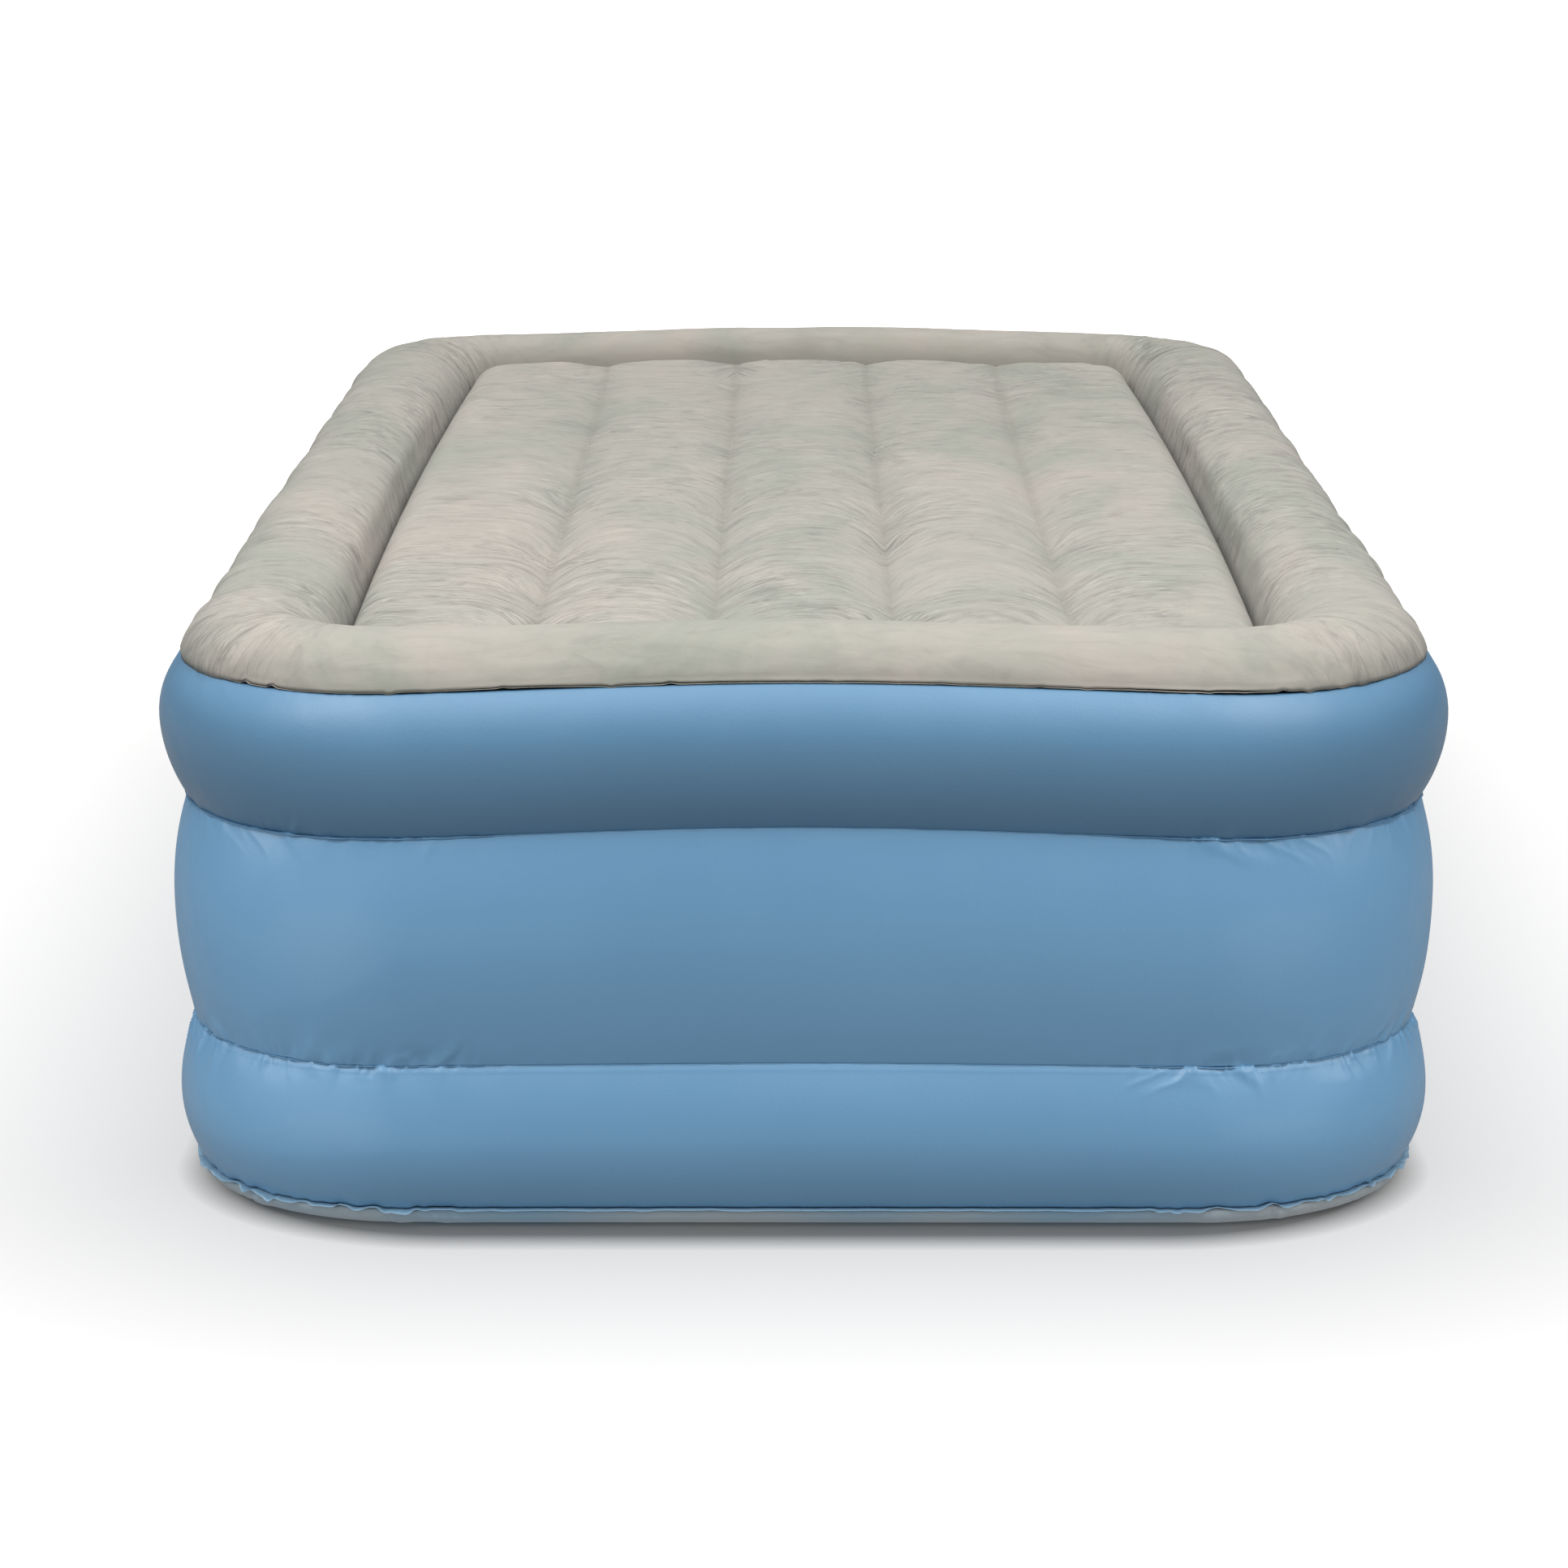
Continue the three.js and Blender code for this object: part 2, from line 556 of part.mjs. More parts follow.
function cordBay() {
  const { x, halfWidth, halfHeight, corner, back, wall } = BAY;
  const front = -PLATE.thick - GAP;
  const outside = prism(
    roundedRectangle(halfWidth + wall + 0.5, halfHeight + wall + 0.5, corner + 2, x), back, front,
  );
  const hollow = prism(roundedRectangle(halfWidth + 0.5, halfHeight + 0.5, corner, x), back + wall, 5);
  const glandHole = prism(circle(4.6, x + 24, -30, THREE.Shape), back - 5, back + 5);
  part("cord_bay_tray", cut(outside, hollow, glandHole), SHELL_PLASTIC, pump);
  const gland = turned(
    [[2.6, -6], [3.4, -6], [4.2, 0], [4.2, wall + GAP], [7, wall + GAP], [6, wall + 2.5],
      [3.2, wall + 2.5], [2.6, -6]], 12,
  );
  part("cord_gland", gland, RUBBER, pump, x + 24, -30, back);
  part("cord_bay_door", cordBayDoor(), SHELL_PLASTIC, pump);
  const pin = turned([[0, -43.5], [HINGE.pin, -43.5], [HINGE.pin, 43.5], [0, 43.5]], 10);
  part("door_hinge_pin", pin.rotateX(Math.PI / 2), STEEL, pump, HINGE.x, 0, HINGE.z);
}

function dialAndValve() {
  const { x, y, radius, front } = DIAL;
  const disc = turned([[0, 0.5], [radius, 0.5], [radius, 2.6], [radius - 2, 4.4], [0, 4.4]], 28);
  const grip = prism(roundedRectangle(5.5, radius - 4, 5), 4, front);
  part("mode_dial", join(disc, grip), DIAL_PLASTIC, pump, x, y);
  part("dial_spindle", dialSpindle(), BLACK_PLASTIC, pump, x, y);
  part("valve_stem", valveStem(), BLACK_PLASTIC, pump, x, y);
  part("valve_duct", valveDuct(), SHELL_PLASTIC, pump, x, y);
  const spring = new THREE.ExtrudeGeometry(circle(0.8, 0, 0, THREE.Shape, 5), {
    steps: 42,
    bevelEnabled: false,
    extrudePath: new Helix(6.4, DUCT.front + 1.3, -62.3, 4),
  });
  part("valve_spring", spring, STEEL, pump, x, y);
  part("valve_guide", valveGuide(), SHELL_PLASTIC, pump, x, y);
  const flap = turned(
    [[2.8, -142.4], [25, -142.4], [27, -140.5], [27, -138.3], [2.8, -138.3], [2.8, -142.4]], 24,
  );
  part("valve_flap", flap, RUBBER, pump, x, y);
}

// A ring with three arms that steadies the stem in the valve's port.
function valveGuide() {
  const ring = circle(22.5, 0, 0, THREE.Shape, 18);
  ring.holes.push(circle(2.9));
  const arms = 3;
  for (let i = 0; i < arms; i++) {
    const from = (i * 2 * Math.PI) / arms;
    const to = from + (2 * Math.PI) / arms;
    const outer = arcPoints(19, 0, 0, from + 0.12, to - 0.12, 5);
    const inner = arcPoints(7, 0, 0, to - 0.3, from + 0.3, 3);
    ring.holes.push(new THREE.Path([...outer, ...inner]));
  }
  return prism(ring, DUCT.back, DUCT.back + 3);
}

function powerSwitch() {
  const { x, y, halfWidth, halfHeight, body } = SWITCH;
  const bezel = prism(roundedRectangle(halfWidth + 4, halfHeight + 4, 2.5), GAP, 1.8);
  const block = prism(roundedRectangle(halfWidth + 1.4, halfHeight + 1.4, 1.5), body, 1);
  const hollow = prism(roundedRectangle(halfWidth, halfHeight, 1), -13, 5);
  part("switch_frame", cut(join(bezel, block), hollow), BLACK_PLASTIC, pump, x, y);
  // The paddle's two faces meet in a shallow V. At rest its lower half stands out: off.
  const half = halfHeight - 0.9;
  const face = [[-half, 1.5], [0, 0.1], [half, 1.5], [half - 1.5, -5], [0, -6.5], [1.5 - half, -5]];
  const paddle = new THREE.Shape(face.map((p) => new THREE.Vector2(...p)));
  const rocker = prism(paddle, 0.6 - halfWidth, halfWidth - 0.6)
    .rotateY(Math.PI / 2)
    .rotateX(Math.PI / 2);
  part("switch_rocker", rocker.rotateX(-SWITCH.tilt), BLACK_PLASTIC, pump, x, y);
}

function motorAndFan() {
  const { from, to, radius, z } = MOTOR;
  const can = turnedAlongX(
    [[2.8, from], [radius - 3, from], [radius, from + 3], [radius, to - 3], [radius - 3, to],
      [8, to], [8, to + 4], [2.8, to + 4], [2.8, from]], 20,
  );
  part("motor", can, STEEL, pump, 0, 0, z);
  const shaft = turnedAlongX([[0, from + 1], [2.5, from + 1], [2.5, -9], [0, -9]], 10);
  part("motor_shaft", shaft, STEEL, pump, 0, 0, z);
  part("impeller", impeller(), DIAL_PLASTIC, pump);
  part("fan_volute", fanVolute(), BLACK_PLASTIC, pump);
  // A saddle that holds the motor off the housing's back wall.
  const saddleHalf = radius + 4;
  const saddleLow = HOUSING.back + HOUSING.wall + GAP - z;
  const saddle = new THREE.Shape([
    new THREE.Vector2(-saddleHalf, saddleLow),
    new THREE.Vector2(saddleHalf, saddleLow),
    new THREE.Vector2(saddleHalf, 0),
    ...arcPoints(radius + GAP, 0, 0, 0, -Math.PI, 10),
    new THREE.Vector2(-saddleHalf, 0),
  ]);
  const cradle = prism(saddle, from + 8, to - 12).rotateZ(Math.PI / 2).rotateY(Math.PI / 2);
  part("motor_cradle", cradle, RUBBER, pump, 0, 0, z);
  const behindSwitch = SWITCH.body - 2;
  const lead = wire(
    [[60, SWITCH.y, behindSwitch], [60, -48, -50], [20, -50, -84], [-24, -47, z], [-44, -36, z],
      [-44, -radius - 2, z]],
    1.4,
  );
  part("motor_lead", lead, COPPER_LEAD, pump);
}

airChamber();
pumpCase();
cordBay();
dialAndValve();
powerSwitch();
motorAndFan();

export default bed;
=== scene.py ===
"""The looks of a raised twin air bed: flocked top, blue vinyl tiers, and the pump in the head end.

Metres, in the row frame: +Z up, the foot end at -Y towards the camera, the pump at +Y.
Soft pieces are fine grids that follow the bed's plan outline. Their welds, puckers and
creases are moves of the grid's points along the surface normals.
"""

import json
import math

import bmesh
import bpy
import numpy as np
from mathutils import Matrix, Vector

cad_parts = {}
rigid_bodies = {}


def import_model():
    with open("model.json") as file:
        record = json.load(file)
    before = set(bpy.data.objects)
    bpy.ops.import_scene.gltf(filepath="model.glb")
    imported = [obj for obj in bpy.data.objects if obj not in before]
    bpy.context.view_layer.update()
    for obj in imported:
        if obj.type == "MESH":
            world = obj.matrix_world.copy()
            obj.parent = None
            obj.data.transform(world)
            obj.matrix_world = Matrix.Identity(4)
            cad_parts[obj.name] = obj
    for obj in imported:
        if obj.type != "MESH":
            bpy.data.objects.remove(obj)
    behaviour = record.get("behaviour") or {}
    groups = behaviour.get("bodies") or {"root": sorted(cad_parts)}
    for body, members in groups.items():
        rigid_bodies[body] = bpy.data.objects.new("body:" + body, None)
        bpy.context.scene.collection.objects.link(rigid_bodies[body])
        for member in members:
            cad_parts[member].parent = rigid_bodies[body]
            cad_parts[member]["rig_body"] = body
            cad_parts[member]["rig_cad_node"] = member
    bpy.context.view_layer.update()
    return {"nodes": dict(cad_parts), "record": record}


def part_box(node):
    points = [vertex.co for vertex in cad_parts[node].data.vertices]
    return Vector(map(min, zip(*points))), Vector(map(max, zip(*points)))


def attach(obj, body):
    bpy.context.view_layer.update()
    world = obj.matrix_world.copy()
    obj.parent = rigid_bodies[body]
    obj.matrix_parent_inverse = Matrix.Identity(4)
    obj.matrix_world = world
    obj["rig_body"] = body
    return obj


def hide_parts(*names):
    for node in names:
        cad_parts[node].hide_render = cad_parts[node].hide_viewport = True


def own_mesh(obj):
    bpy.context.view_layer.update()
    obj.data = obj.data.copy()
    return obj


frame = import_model()
NODES = frame["nodes"]

# ---------------------------------------------------------------- sizes, from the frame
HALF_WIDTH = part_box("upper_side_band")[1].x
HALF_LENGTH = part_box("upper_side_band")[1].y
MM = 0.001
CORNER = 196 * MM  # plan corner radius at the widest line
INNER_CORNER = 60 * MM  # and at the border's foot
BORDER_REACH = 136 * MM  # from the widest line in to the border's foot
CORNER_TIGHTENING = (CORNER - INNER_CORNER) / BORDER_REACH


def inset_of(node):
    """How far a node's widest line lies inside the bed's, as a negative number."""
    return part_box(node)[1].x - HALF_WIDTH


def between(low_node, high_node):
    """The height midway between one node's top and the next one's bottom."""
    return (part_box(low_node)[1].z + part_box(high_node)[0].z) / 2


# Lines round the bed, each as (inset from the widest line, height). The crowns' heights and the
# seams' insets follow the photograph's side outline.
HEM = (-0.025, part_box("hem_weld_flange")[0].z + 1.4 * MM)
LOWER_WELD = (inset_of("lower_girdle_sheet"), between("lower_side_band", "middle_side_band"))
UPPER_WELD = (inset_of("upper_deck_sheet"), between("middle_side_band", "upper_side_band"))
TOP_SEAM = (-0.019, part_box("top_weld_flange")[1].z)
LOWER_CROWN = (inset_of("lower_side_band"), 0.069)
MIDDLE_CROWN = (inset_of("middle_side_band"), 0.228)
UPPER_CROWN = (0.0, 0.3665)
BORDER_TOP = (-0.076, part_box("border_ring")[1].z)
BORDER_FOOT = (-BORDER_REACH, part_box("border_ring")[0].z)
PANEL_LOW, PANEL_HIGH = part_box("sleeping_panel")
BEAM_FLANGE = 9 * MM  # from a beam's web, which is under its seam, to its flange's edge
CHANNEL_SEAMS = [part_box(f"upper_beam_{i}")[1].x - BEAM_FLANGE for i in (1, 2, 3, 4)]
WELD_OVERLAP = 8 * MM  # how far a lip or a sheet runs inwards past its weld
FILM = 0.7 * MM  # the shown thickness of a welded lip


# ---------------------------------------------------------------- noise and easing
def smoothstep(low, high, x):
    """An eased step from 0 at low to 1 at high. It falls where low is the greater."""
    t = np.clip((x - low) / (high - low), 0, 1)
    return t * t * (3 - 2 * t)


def noise(u, v, seed, wrap=257):
    """Smooth noise from -1 to 1 over two coordinates. It repeats along u every wrap cells."""
    table = np.random.default_rng(seed).uniform(-1, 1, (wrap, 257))
    u, v = np.broadcast_arrays(np.asarray(u, float), np.asarray(v, float))
    iu, iv = np.floor(u).astype(int), np.floor(v).astype(int)
    fu, fv = u - iu, v - iv
    fu, fv = (f * f * f * (f * (6 * f - 15) + 10) for f in (fu, fv))
    rows = (iu % wrap, (iu + 1) % wrap)
    columns = (iv % 257, (iv + 1) % 257)
    low = table[rows[0], columns[0]] * (1 - fu) + table[rows[1], columns[0]] * fu
    high = table[rows[0], columns[1]] * (1 - fu) + table[rows[1], columns[1]] * fu
    return low * (1 - fv) + high * fv


def folds(u, v, seed, wrap=257):
    """Noise with rounded crests and tight valleys, as gathered film has, about 0."""
    return 0.55 - np.abs(noise(u, v, seed, wrap)) * 1.6


# ---------------------------------------------------------------- the plan outline
def spread(length, coarse, fine, reach):
    """Places along a length: a fine spacing within reach of its two ends, coarse between."""
    place = np.linspace(0, length, 1500)
    middle = smoothstep(0.5 * reach, reach, np.minimum(place, length - place))
    density = 1 / fine + (1 / coarse - 1 / fine) * middle
    count = np.concatenate([[0], np.cumsum((density[1:] + density[:-1]) / 2 * np.diff(place))])
    steps = max(2, round(count[-1]))
    return np.interp(np.arange(steps + 1) / steps * count[-1], count, place)


class Outline:
    """Points round the bed's plan outline: finely spaced round its corners, coarser between."""

    def __init__(self, coarse, fine):
        arc_length = CORNER * math.pi / 2
        rows = []
        start = 0.0
        for quarter in range(4):
            steps = round(arc_length / fine)
            for i in range(steps):
                rows.append((quarter, i / steps, 0.0, start + arc_length * i / steps, 0.0))
            start += arc_length
            half = (HALF_WIDTH, HALF_LENGTH)[quarter % 2]
            length = 2 * (half - CORNER)
            for place in spread(length, coarse, fine, 0.13)[:-1]:
                rows.append((quarter, 1.0, place / length, start + place, min(place, length - place)))
            start += length
        self.quarter, self.turn, self.fraction, self.along, self.to_corner = np.array(rows).T
        self.total = start
        self.corner = np.exp(-((self.to_corner / 0.055) ** 2))
        angle = (self.quarter + self.turn) * math.pi / 2
        self.normal = np.stack([np.cos(angle), np.sin(angle)], axis=1)

    def at(self, inset):
        """The outline's points at an inset, or at one inset for each point."""
        inset = np.broadcast_to(inset, self.quarter.shape)
        radius = CORNER + np.minimum(inset, 0) * CORNER_TIGHTENING + np.maximum(inset, 0)
        half = np.stack([HALF_WIDTH + inset - radius, HALF_LENGTH + inset - radius], axis=1)
        signs = np.array([(1, 1), (-1, 1), (-1, -1), (1, -1)])
        quarter = self.quarter.astype(int)
        here = signs[quarter] * half
        after = signs[(quarter + 1) % 4] * half
        middle = here + (after - here) * self.fraction[:, None]
        return middle + self.normal * radius[:, None]

    def cells(self, size):
        """The position round the outline in cells of about that size, and how many there are."""
        count = max(3, round(self.total / size))
        return self.along / self.total * count, count


RIM = Outline(7 * MM, 2.3 * MM)
TUBE_RIM = Outline(4.2 * MM, 3.4 * MM)


def settle(points):
    """Raises the middle of each end a little and lowers its corners, as the full bed does."""
    x, y, z = points[..., 0], points[..., 1], points[..., 2]
    at_end = smoothstep(0.62, HALF_LENGTH, np.abs(y))
    middle = 1 - smoothstep(0, 0.40, np.abs(x))
    drop = np.where(y < 0, 0.5, 0.25)
    lift = 0.010 * smoothstep(0.01, 0.32, z) * at_end * (middle - drop)
    moved = points.copy()
    moved[..., 2] = z + lift
    return moved


# ---------------------------------------------------------------- meshes
def new_object(name, vertices, faces, body="mattress"):
    """A smooth mesh of four-sided faces that rides on a body."""
    mesh = bpy.data.meshes.new(name)
    mesh.vertices.add(len(vertices))
    mesh.vertices.foreach_set("co", np.asarray(vertices, np.float32).ravel())
    mesh.loops.add(faces.size)
    mesh.loops.foreach_set("vertex_index", faces.astype(np.int32).ravel())
    mesh.polygons.add(len(faces))
    mesh.polygons.foreach_set("loop_start", np.arange(0, faces.size, 4, dtype=np.int32))
    mesh.polygons.foreach_set("loop_total", np.full(len(faces), 4, np.int32))
    mesh.polygons.foreach_set("use_smooth", np.ones(len(faces), bool))
    mesh.update(calc_edges=True)
    obj = bpy.data.objects.new(name, mesh)
    bpy.context.scene.collection.objects.link(obj)
    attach(obj, body)
    return obj


def grid_faces(rows, columns, closed_rows, closed_columns):
    """The faces between the points of a grid, which may close on itself either way."""
    i = np.arange(rows if closed_rows else rows - 1)
    j = np.arange(columns if closed_columns else columns - 1)
    i, j = np.meshgrid(i, j, indexing="ij")
    after_i, after_j = (i + 1) % rows, (j + 1) % columns
    corners = (i * columns + j, after_i * columns + j, after_i * columns + after_j, i * columns + after_j)
    return np.stack(corners, axis=-1).reshape(-1, 4)


def normals_of(points, closed_rows, closed_columns=False):
    """The unit normals of a grid of points, by differences along its two directions."""

    def slope(axis, closed):
        if closed:
            return np.roll(points, -1, axis) - np.roll(points, 1, axis)
        return np.gradient(points, axis=axis)

    normal = np.cross(slope(0, closed_rows), slope(1, closed_columns))
    return normal / np.maximum(np.linalg.norm(normal, axis=-1, keepdims=True), 1e-12)


def set_grain(obj, along, across, brushed=1.0, shade=0.0):
    """Where the flock's grain lies, in metres along and across it, and how brushed it is.

    shade is how far painted shade darkens it, as beside a weld or in a groove.
    """
    crushed = obj.data.attributes.new("shade", "FLOAT", "POINT")
    dark = np.broadcast_to(shade, np.broadcast_arrays(along, across)[0].shape)
    crushed.data.foreach_set("value", dark.astype(np.float32).ravel())
    values = np.stack(np.broadcast_arrays(along, across, brushed), axis=-1).astype(np.float32)
    attribute = obj.data.attributes.new("grain", "FLOAT_VECTOR", "POINT")
    attribute.data.foreach_set("vector", values.ravel())


def section_lengths(section):
    """The distance along a section to each of its points."""
    steps = np.linalg.norm(np.diff(section, axis=0), axis=1)
    return np.concatenate([[0], np.cumsum(steps)])


def resample(section, coarse, fine):
    """A section's line as points: finely spaced near its two ends, coarser between."""
    section = np.asarray(section, float)
    lengths = section_lengths(section)
    wanted = spread(lengths[-1], coarse, fine, 0.035)
    return np.stack([np.interp(wanted, lengths, section[:, k]) for k in (0, 1)], axis=1)


def sweep(section, rim=RIM):
    """A section of (inset, height) carried round the outline, as points[round, section]."""
    points = np.zeros((len(rim.along), len(section), 3))
    for j, (inset, height) in enumerate(section):
        points[:, j, :2] = rim.at(inset)
        points[:, j, 2] = height
    return points


def arc(centre, radii, start, end, steps=24, fullness=2.0):
    """Section points on an ellipse about a centre, between two angles in degrees.

    A fullness above 2 swells it towards its box's corner.
    """
    angle = np.radians(np.linspace(start, end, steps + 1))
    across, up = (np.sign(f(angle)) * np.abs(f(angle)) ** (2 / fullness) for f in (np.cos, np.sin))
    return np.stack([centre[0] + radii[0] * across, centre[1] + radii[1] * up], axis=1)


# ---------------------------------------------------------------- material building
class Paint:
    """A node material, built from its Principled shader outwards."""

    def __init__(self, name, roughness=0.5, metallic=0.0, **sockets):
        self.material = bpy.data.materials.new(name)
        self.material.use_nodes = True
        self.tree = self.material.node_tree
        self.shader = self.tree.nodes["Principled BSDF"]
        self.set(self.shader, "Roughness", roughness)
        self.set(self.shader, "Metallic", metallic)
        for socket, value in sockets.items():
            self.set(self.shader, socket.replace("_", " "), value)

    def set(self, node, socket, value):
        if isinstance(value, bpy.types.NodeSocket):
            self.tree.links.new(value, node.inputs[socket])
        else:
            node.inputs[socket].default_value = value

    def add(self, kind, properties=(), **inputs):
        node = self.tree.nodes.new("ShaderNode" + kind)
        for key, value in dict(properties).items():
            setattr(node, key, value)
        for socket, value in inputs.items():
            self.set(node, socket.replace("_", " "), value)
        return node

    def position(self):
        return self.add("TexCoord").outputs["Object"]

    def attribute(self, name, output):
        return self.add("Attribute", {"attribute_name": name}).outputs[output]

    def stretched(self, vector, scale):
        return self.add("Mapping", Vector=vector, Scale=scale).outputs["Vector"]

    def noise(self, vector, scale, detail=4.0, roughness=0.55, distortion=0.0):
        node = self.add(
            "TexNoise", Vector=vector, Scale=scale, Detail=detail, Roughness=roughness,
            Distortion=distortion,
        )
        return node.outputs["Fac"]

    def ramp(self, value, *stops):
        node = self.add("ValToRGB", Fac=value)
        elements = node.color_ramp.elements
        while len(elements) < len(stops):
            elements.new(0.5)
        for element, (place, colour) in zip(elements, stops):
            element.position = place
            element.color = (*colour, 1) if hasattr(colour, "__len__") else (colour,) * 3 + (1,)
        return node.outputs["Color"]

    def level(self, value, low, high, from_low=0.0, from_high=1.0):
        node = self.add("MapRange", Value=value)
        limits = {"From Min": from_low, "From Max": from_high, "To Min": low, "To Max": high}
        for socket, number in limits.items():
            self.set(node, socket, number)
        return node.outputs["Result"]

    def mix(self, factor, a, b, blend="MIX"):
        node = self.add("Mix", {"data_type": "RGBA", "blend_type": blend})
        self.set(node, 0, factor)
        for index, value in ((6, a), (7, b)):
            linked = isinstance(value, bpy.types.NodeSocket)
            self.set(node, index, value if linked else (*value, 1))
        return node.outputs[2]

    def math(self, operation, *values, kind="Math", output=0):
        """One output of a maths node over sockets, numbers or vectors."""
        node = self.add(kind, {"operation": operation})
        for index, value in enumerate(values):
            self.set(node, index, value)
        return node.outputs[output]

    def vector_math(self, operation, *values, output=0):
        return self.math(operation, *values, kind="VectorMath", output=output)

    def sum(self, *values):
        total = values[0]
        for value in values[1:]:
            total = self.math("ADD", total, value)
        return total

    def times(self, value, *factors):
        for factor in factors:
            value = self.math("MULTIPLY", value, factor)
        return value

    def thin_line(self, value, centre, width):
        """One where value is near centre, nothing elsewhere: a line along a noise's contour."""
        apart = self.math("ABSOLUTE", self.math("SUBTRACT", value, centre))
        return self.level(apart, 1.0, 0.0, 0.0, width)

    def colour(self, value):
        self.set(self.shader, "Base Color", value)

    def bump(self, height, distance):
        node = self.add("Bump", Height=height, Distance=distance)
        self.tree.links.new(node.outputs["Normal"], self.shader.inputs["Normal"])


PILE_DARK = (0.225, 0.228, 0.200)  # where the flock is brushed against its lie
# The next two paint light onto the flock's creases: painted shade in their valleys, a painted highlight on
# their crests.
FOLD_PAINTED_SHADE = (0.205, 0.198, 0.175)
CREST_PAINTED_HIGHLIGHT = (0.53, 0.51, 0.465)
# Painted shade: in the grooves, on the border's inner walls and along the channel seams.
PAINTED_SHADE_DARK = (0.175, 0.165, 0.140)


def brush_strokes(paint, colour, lie, amount):
    """Two sizes of brush stroke along the grain, that darken and lighten a colour."""
    layers = (((12, 27, 1), 0.0, 0.66, 1.16, 2.4), ((34, 76, 1), 3.7, 0.72, 1.12, 2.0))
    for scale, shift, low, high, twist in layers:
        moved = paint.vector_math("ADD", paint.stretched(lie, scale), (shift, shift * 2, shift))
        strokes = paint.noise(moved, 1.0, 4, 0.6, twist)
        tint = paint.ramp(strokes, (0.32, low), (0.47, 0.99), (0.55, 1.0), (0.70, high))
        colour = paint.mix(paint.level(amount, 0.28, 1.0), colour, tint, "MULTIPLY")
    return colour


def flocked_vinyl():
    """Short beige pile, brushed into patches. Its strokes and creases follow the grain.

    The grain's third number says how strongly the cloth is brushed and creased there.
    """
    paint = Paint("flocked_vinyl", 0.95, Sheen_Weight=0.15, Sheen_Roughness=0.5)
    paint.set(paint.shader, "Specular IOR Level", 0.12)
    place, lie = paint.position(), paint.attribute("grain", "Vector")
    brushed = paint.add("SeparateXYZ", Vector=lie).outputs["Z"]
    patches = paint.noise(paint.stretched(place, (1.0, 0.42, 1.0)), 6.0, 6, 0.62, 0.9)
    colour = paint.ramp(
        patches, (0.36, (0.310, 0.318, 0.275)), (0.47, (0.355, 0.345, 0.304)),
        (0.56, (0.378, 0.358, 0.318)), (0.68, (0.408, 0.370, 0.331)),
    )
    active = paint.noise(paint.stretched(place, (1.0, 0.5, 1.0)), 8.0, 4, 0.6, 0.5)
    amount = paint.times(brushed, paint.level(active, 0.20, 1.0, 0.40, 0.60))
    colour = brush_strokes(paint, colour, lie, amount)
    bruises = paint.noise(paint.stretched(lie, (15, 36, 1)), 1.0, 7, 0.70, 1.2)
    bruised = paint.times(paint.level(bruises, 0.0, 0.85, 0.54, 0.67), amount)
    colour = paint.mix(bruised, colour, PILE_DARK)
    creases = paint.noise(paint.stretched(lie, (9, 44, 1)), 1.0, 3, 0.5, 0.9)
    # Painted shade along the creases' valleys, then a painted highlight along their crests.
    fold = paint.thin_line(creases, 0.5, 0.022)
    colour = paint.mix(paint.times(fold, 0.50, amount), colour, FOLD_PAINTED_SHADE)
    crest = paint.thin_line(creases, 0.455, 0.020)
    colour = paint.mix(paint.times(crest, 0.40, amount), colour, CREST_PAINTED_HIGHLIGHT)
    # Painted shade, as far as the shade attribute says.
    paint.colour(paint.mix(paint.attribute("shade", "Fac"), colour, PAINTED_SHADE_DARK))
    pile = paint.noise(place, 1900, 2, 0.6)
    nap = paint.noise(paint.stretched(lie, (60, 130, 1)), 1.0, 3, 0.6, 0.8)
    valley = paint.times(paint.thin_line(creases, 0.5, 0.05), -1.1, amount)
    height = paint.sum(
        paint.times(pile, 0.15), paint.times(nap, 0.5), paint.times(creases, 2.6), valley,
    )
    paint.bump(height, 0.9 * MM)
    return paint.material


def vinyl(name, deep, pale, roughness, bump=0.00016):
    """Satin calendered film: nearly even colour, with a soft sheen that wanders a little."""
    paint = Paint(name, roughness, Coat_Weight=0.06, Coat_Roughness=0.38)
    place = paint.position()
    drift = paint.noise(place, 3.2, 3, 0.5)
    paint.colour(paint.ramp(drift, (0.3, deep), (0.7, pale)))
    handling = paint.noise(place, 22, 4, 0.6, 0.4)
    paint.set(paint.shader, "Roughness", paint.level(handling, roughness - 0.07, roughness + 0.08, 0.3, 0.7))
    skin = paint.noise(place, 420, 3, 0.6)
    ripples = paint.noise(paint.stretched(place, (1, 1, 0.5)), 38, 3, 0.5, 0.6)
    paint.bump(paint.sum(paint.times(skin, 0.8), paint.times(ripples, 1.8)), bump)
    return paint.material


def plastic(name, colour, roughness, grit=900.0):
    """Moulded plastic with a fine spark texture and faintly uneven gloss."""
    paint = Paint(name, roughness)
    place = paint.position()
    drift = paint.noise(place, 45, 3, 0.5)
    darker = tuple(c * 0.88 for c in colour)
    lighter = tuple(min(1, c * 1.12 + 0.004) for c in colour)
    paint.colour(paint.ramp(drift, (0.3, darker), (0.7, lighter)))
    paint.set(paint.shader, "Roughness", paint.level(drift, roughness - 0.05, roughness + 0.07, 0.3, 0.7))
    paint.bump(paint.noise(place, grit, 2, 0.5), 0.00012)
    return paint.material


def rubber():
    paint = Paint("soft_rubber", 0.78)
    place = paint.position()
    dust = paint.noise(place, 120, 4, 0.6)
    paint.colour(paint.ramp(dust, (0.35, (0.018, 0.019, 0.020)), (0.8, (0.045, 0.046, 0.048))))
    paint.bump(paint.noise(place, 600, 2, 0.5), 0.0001)
    return paint.material


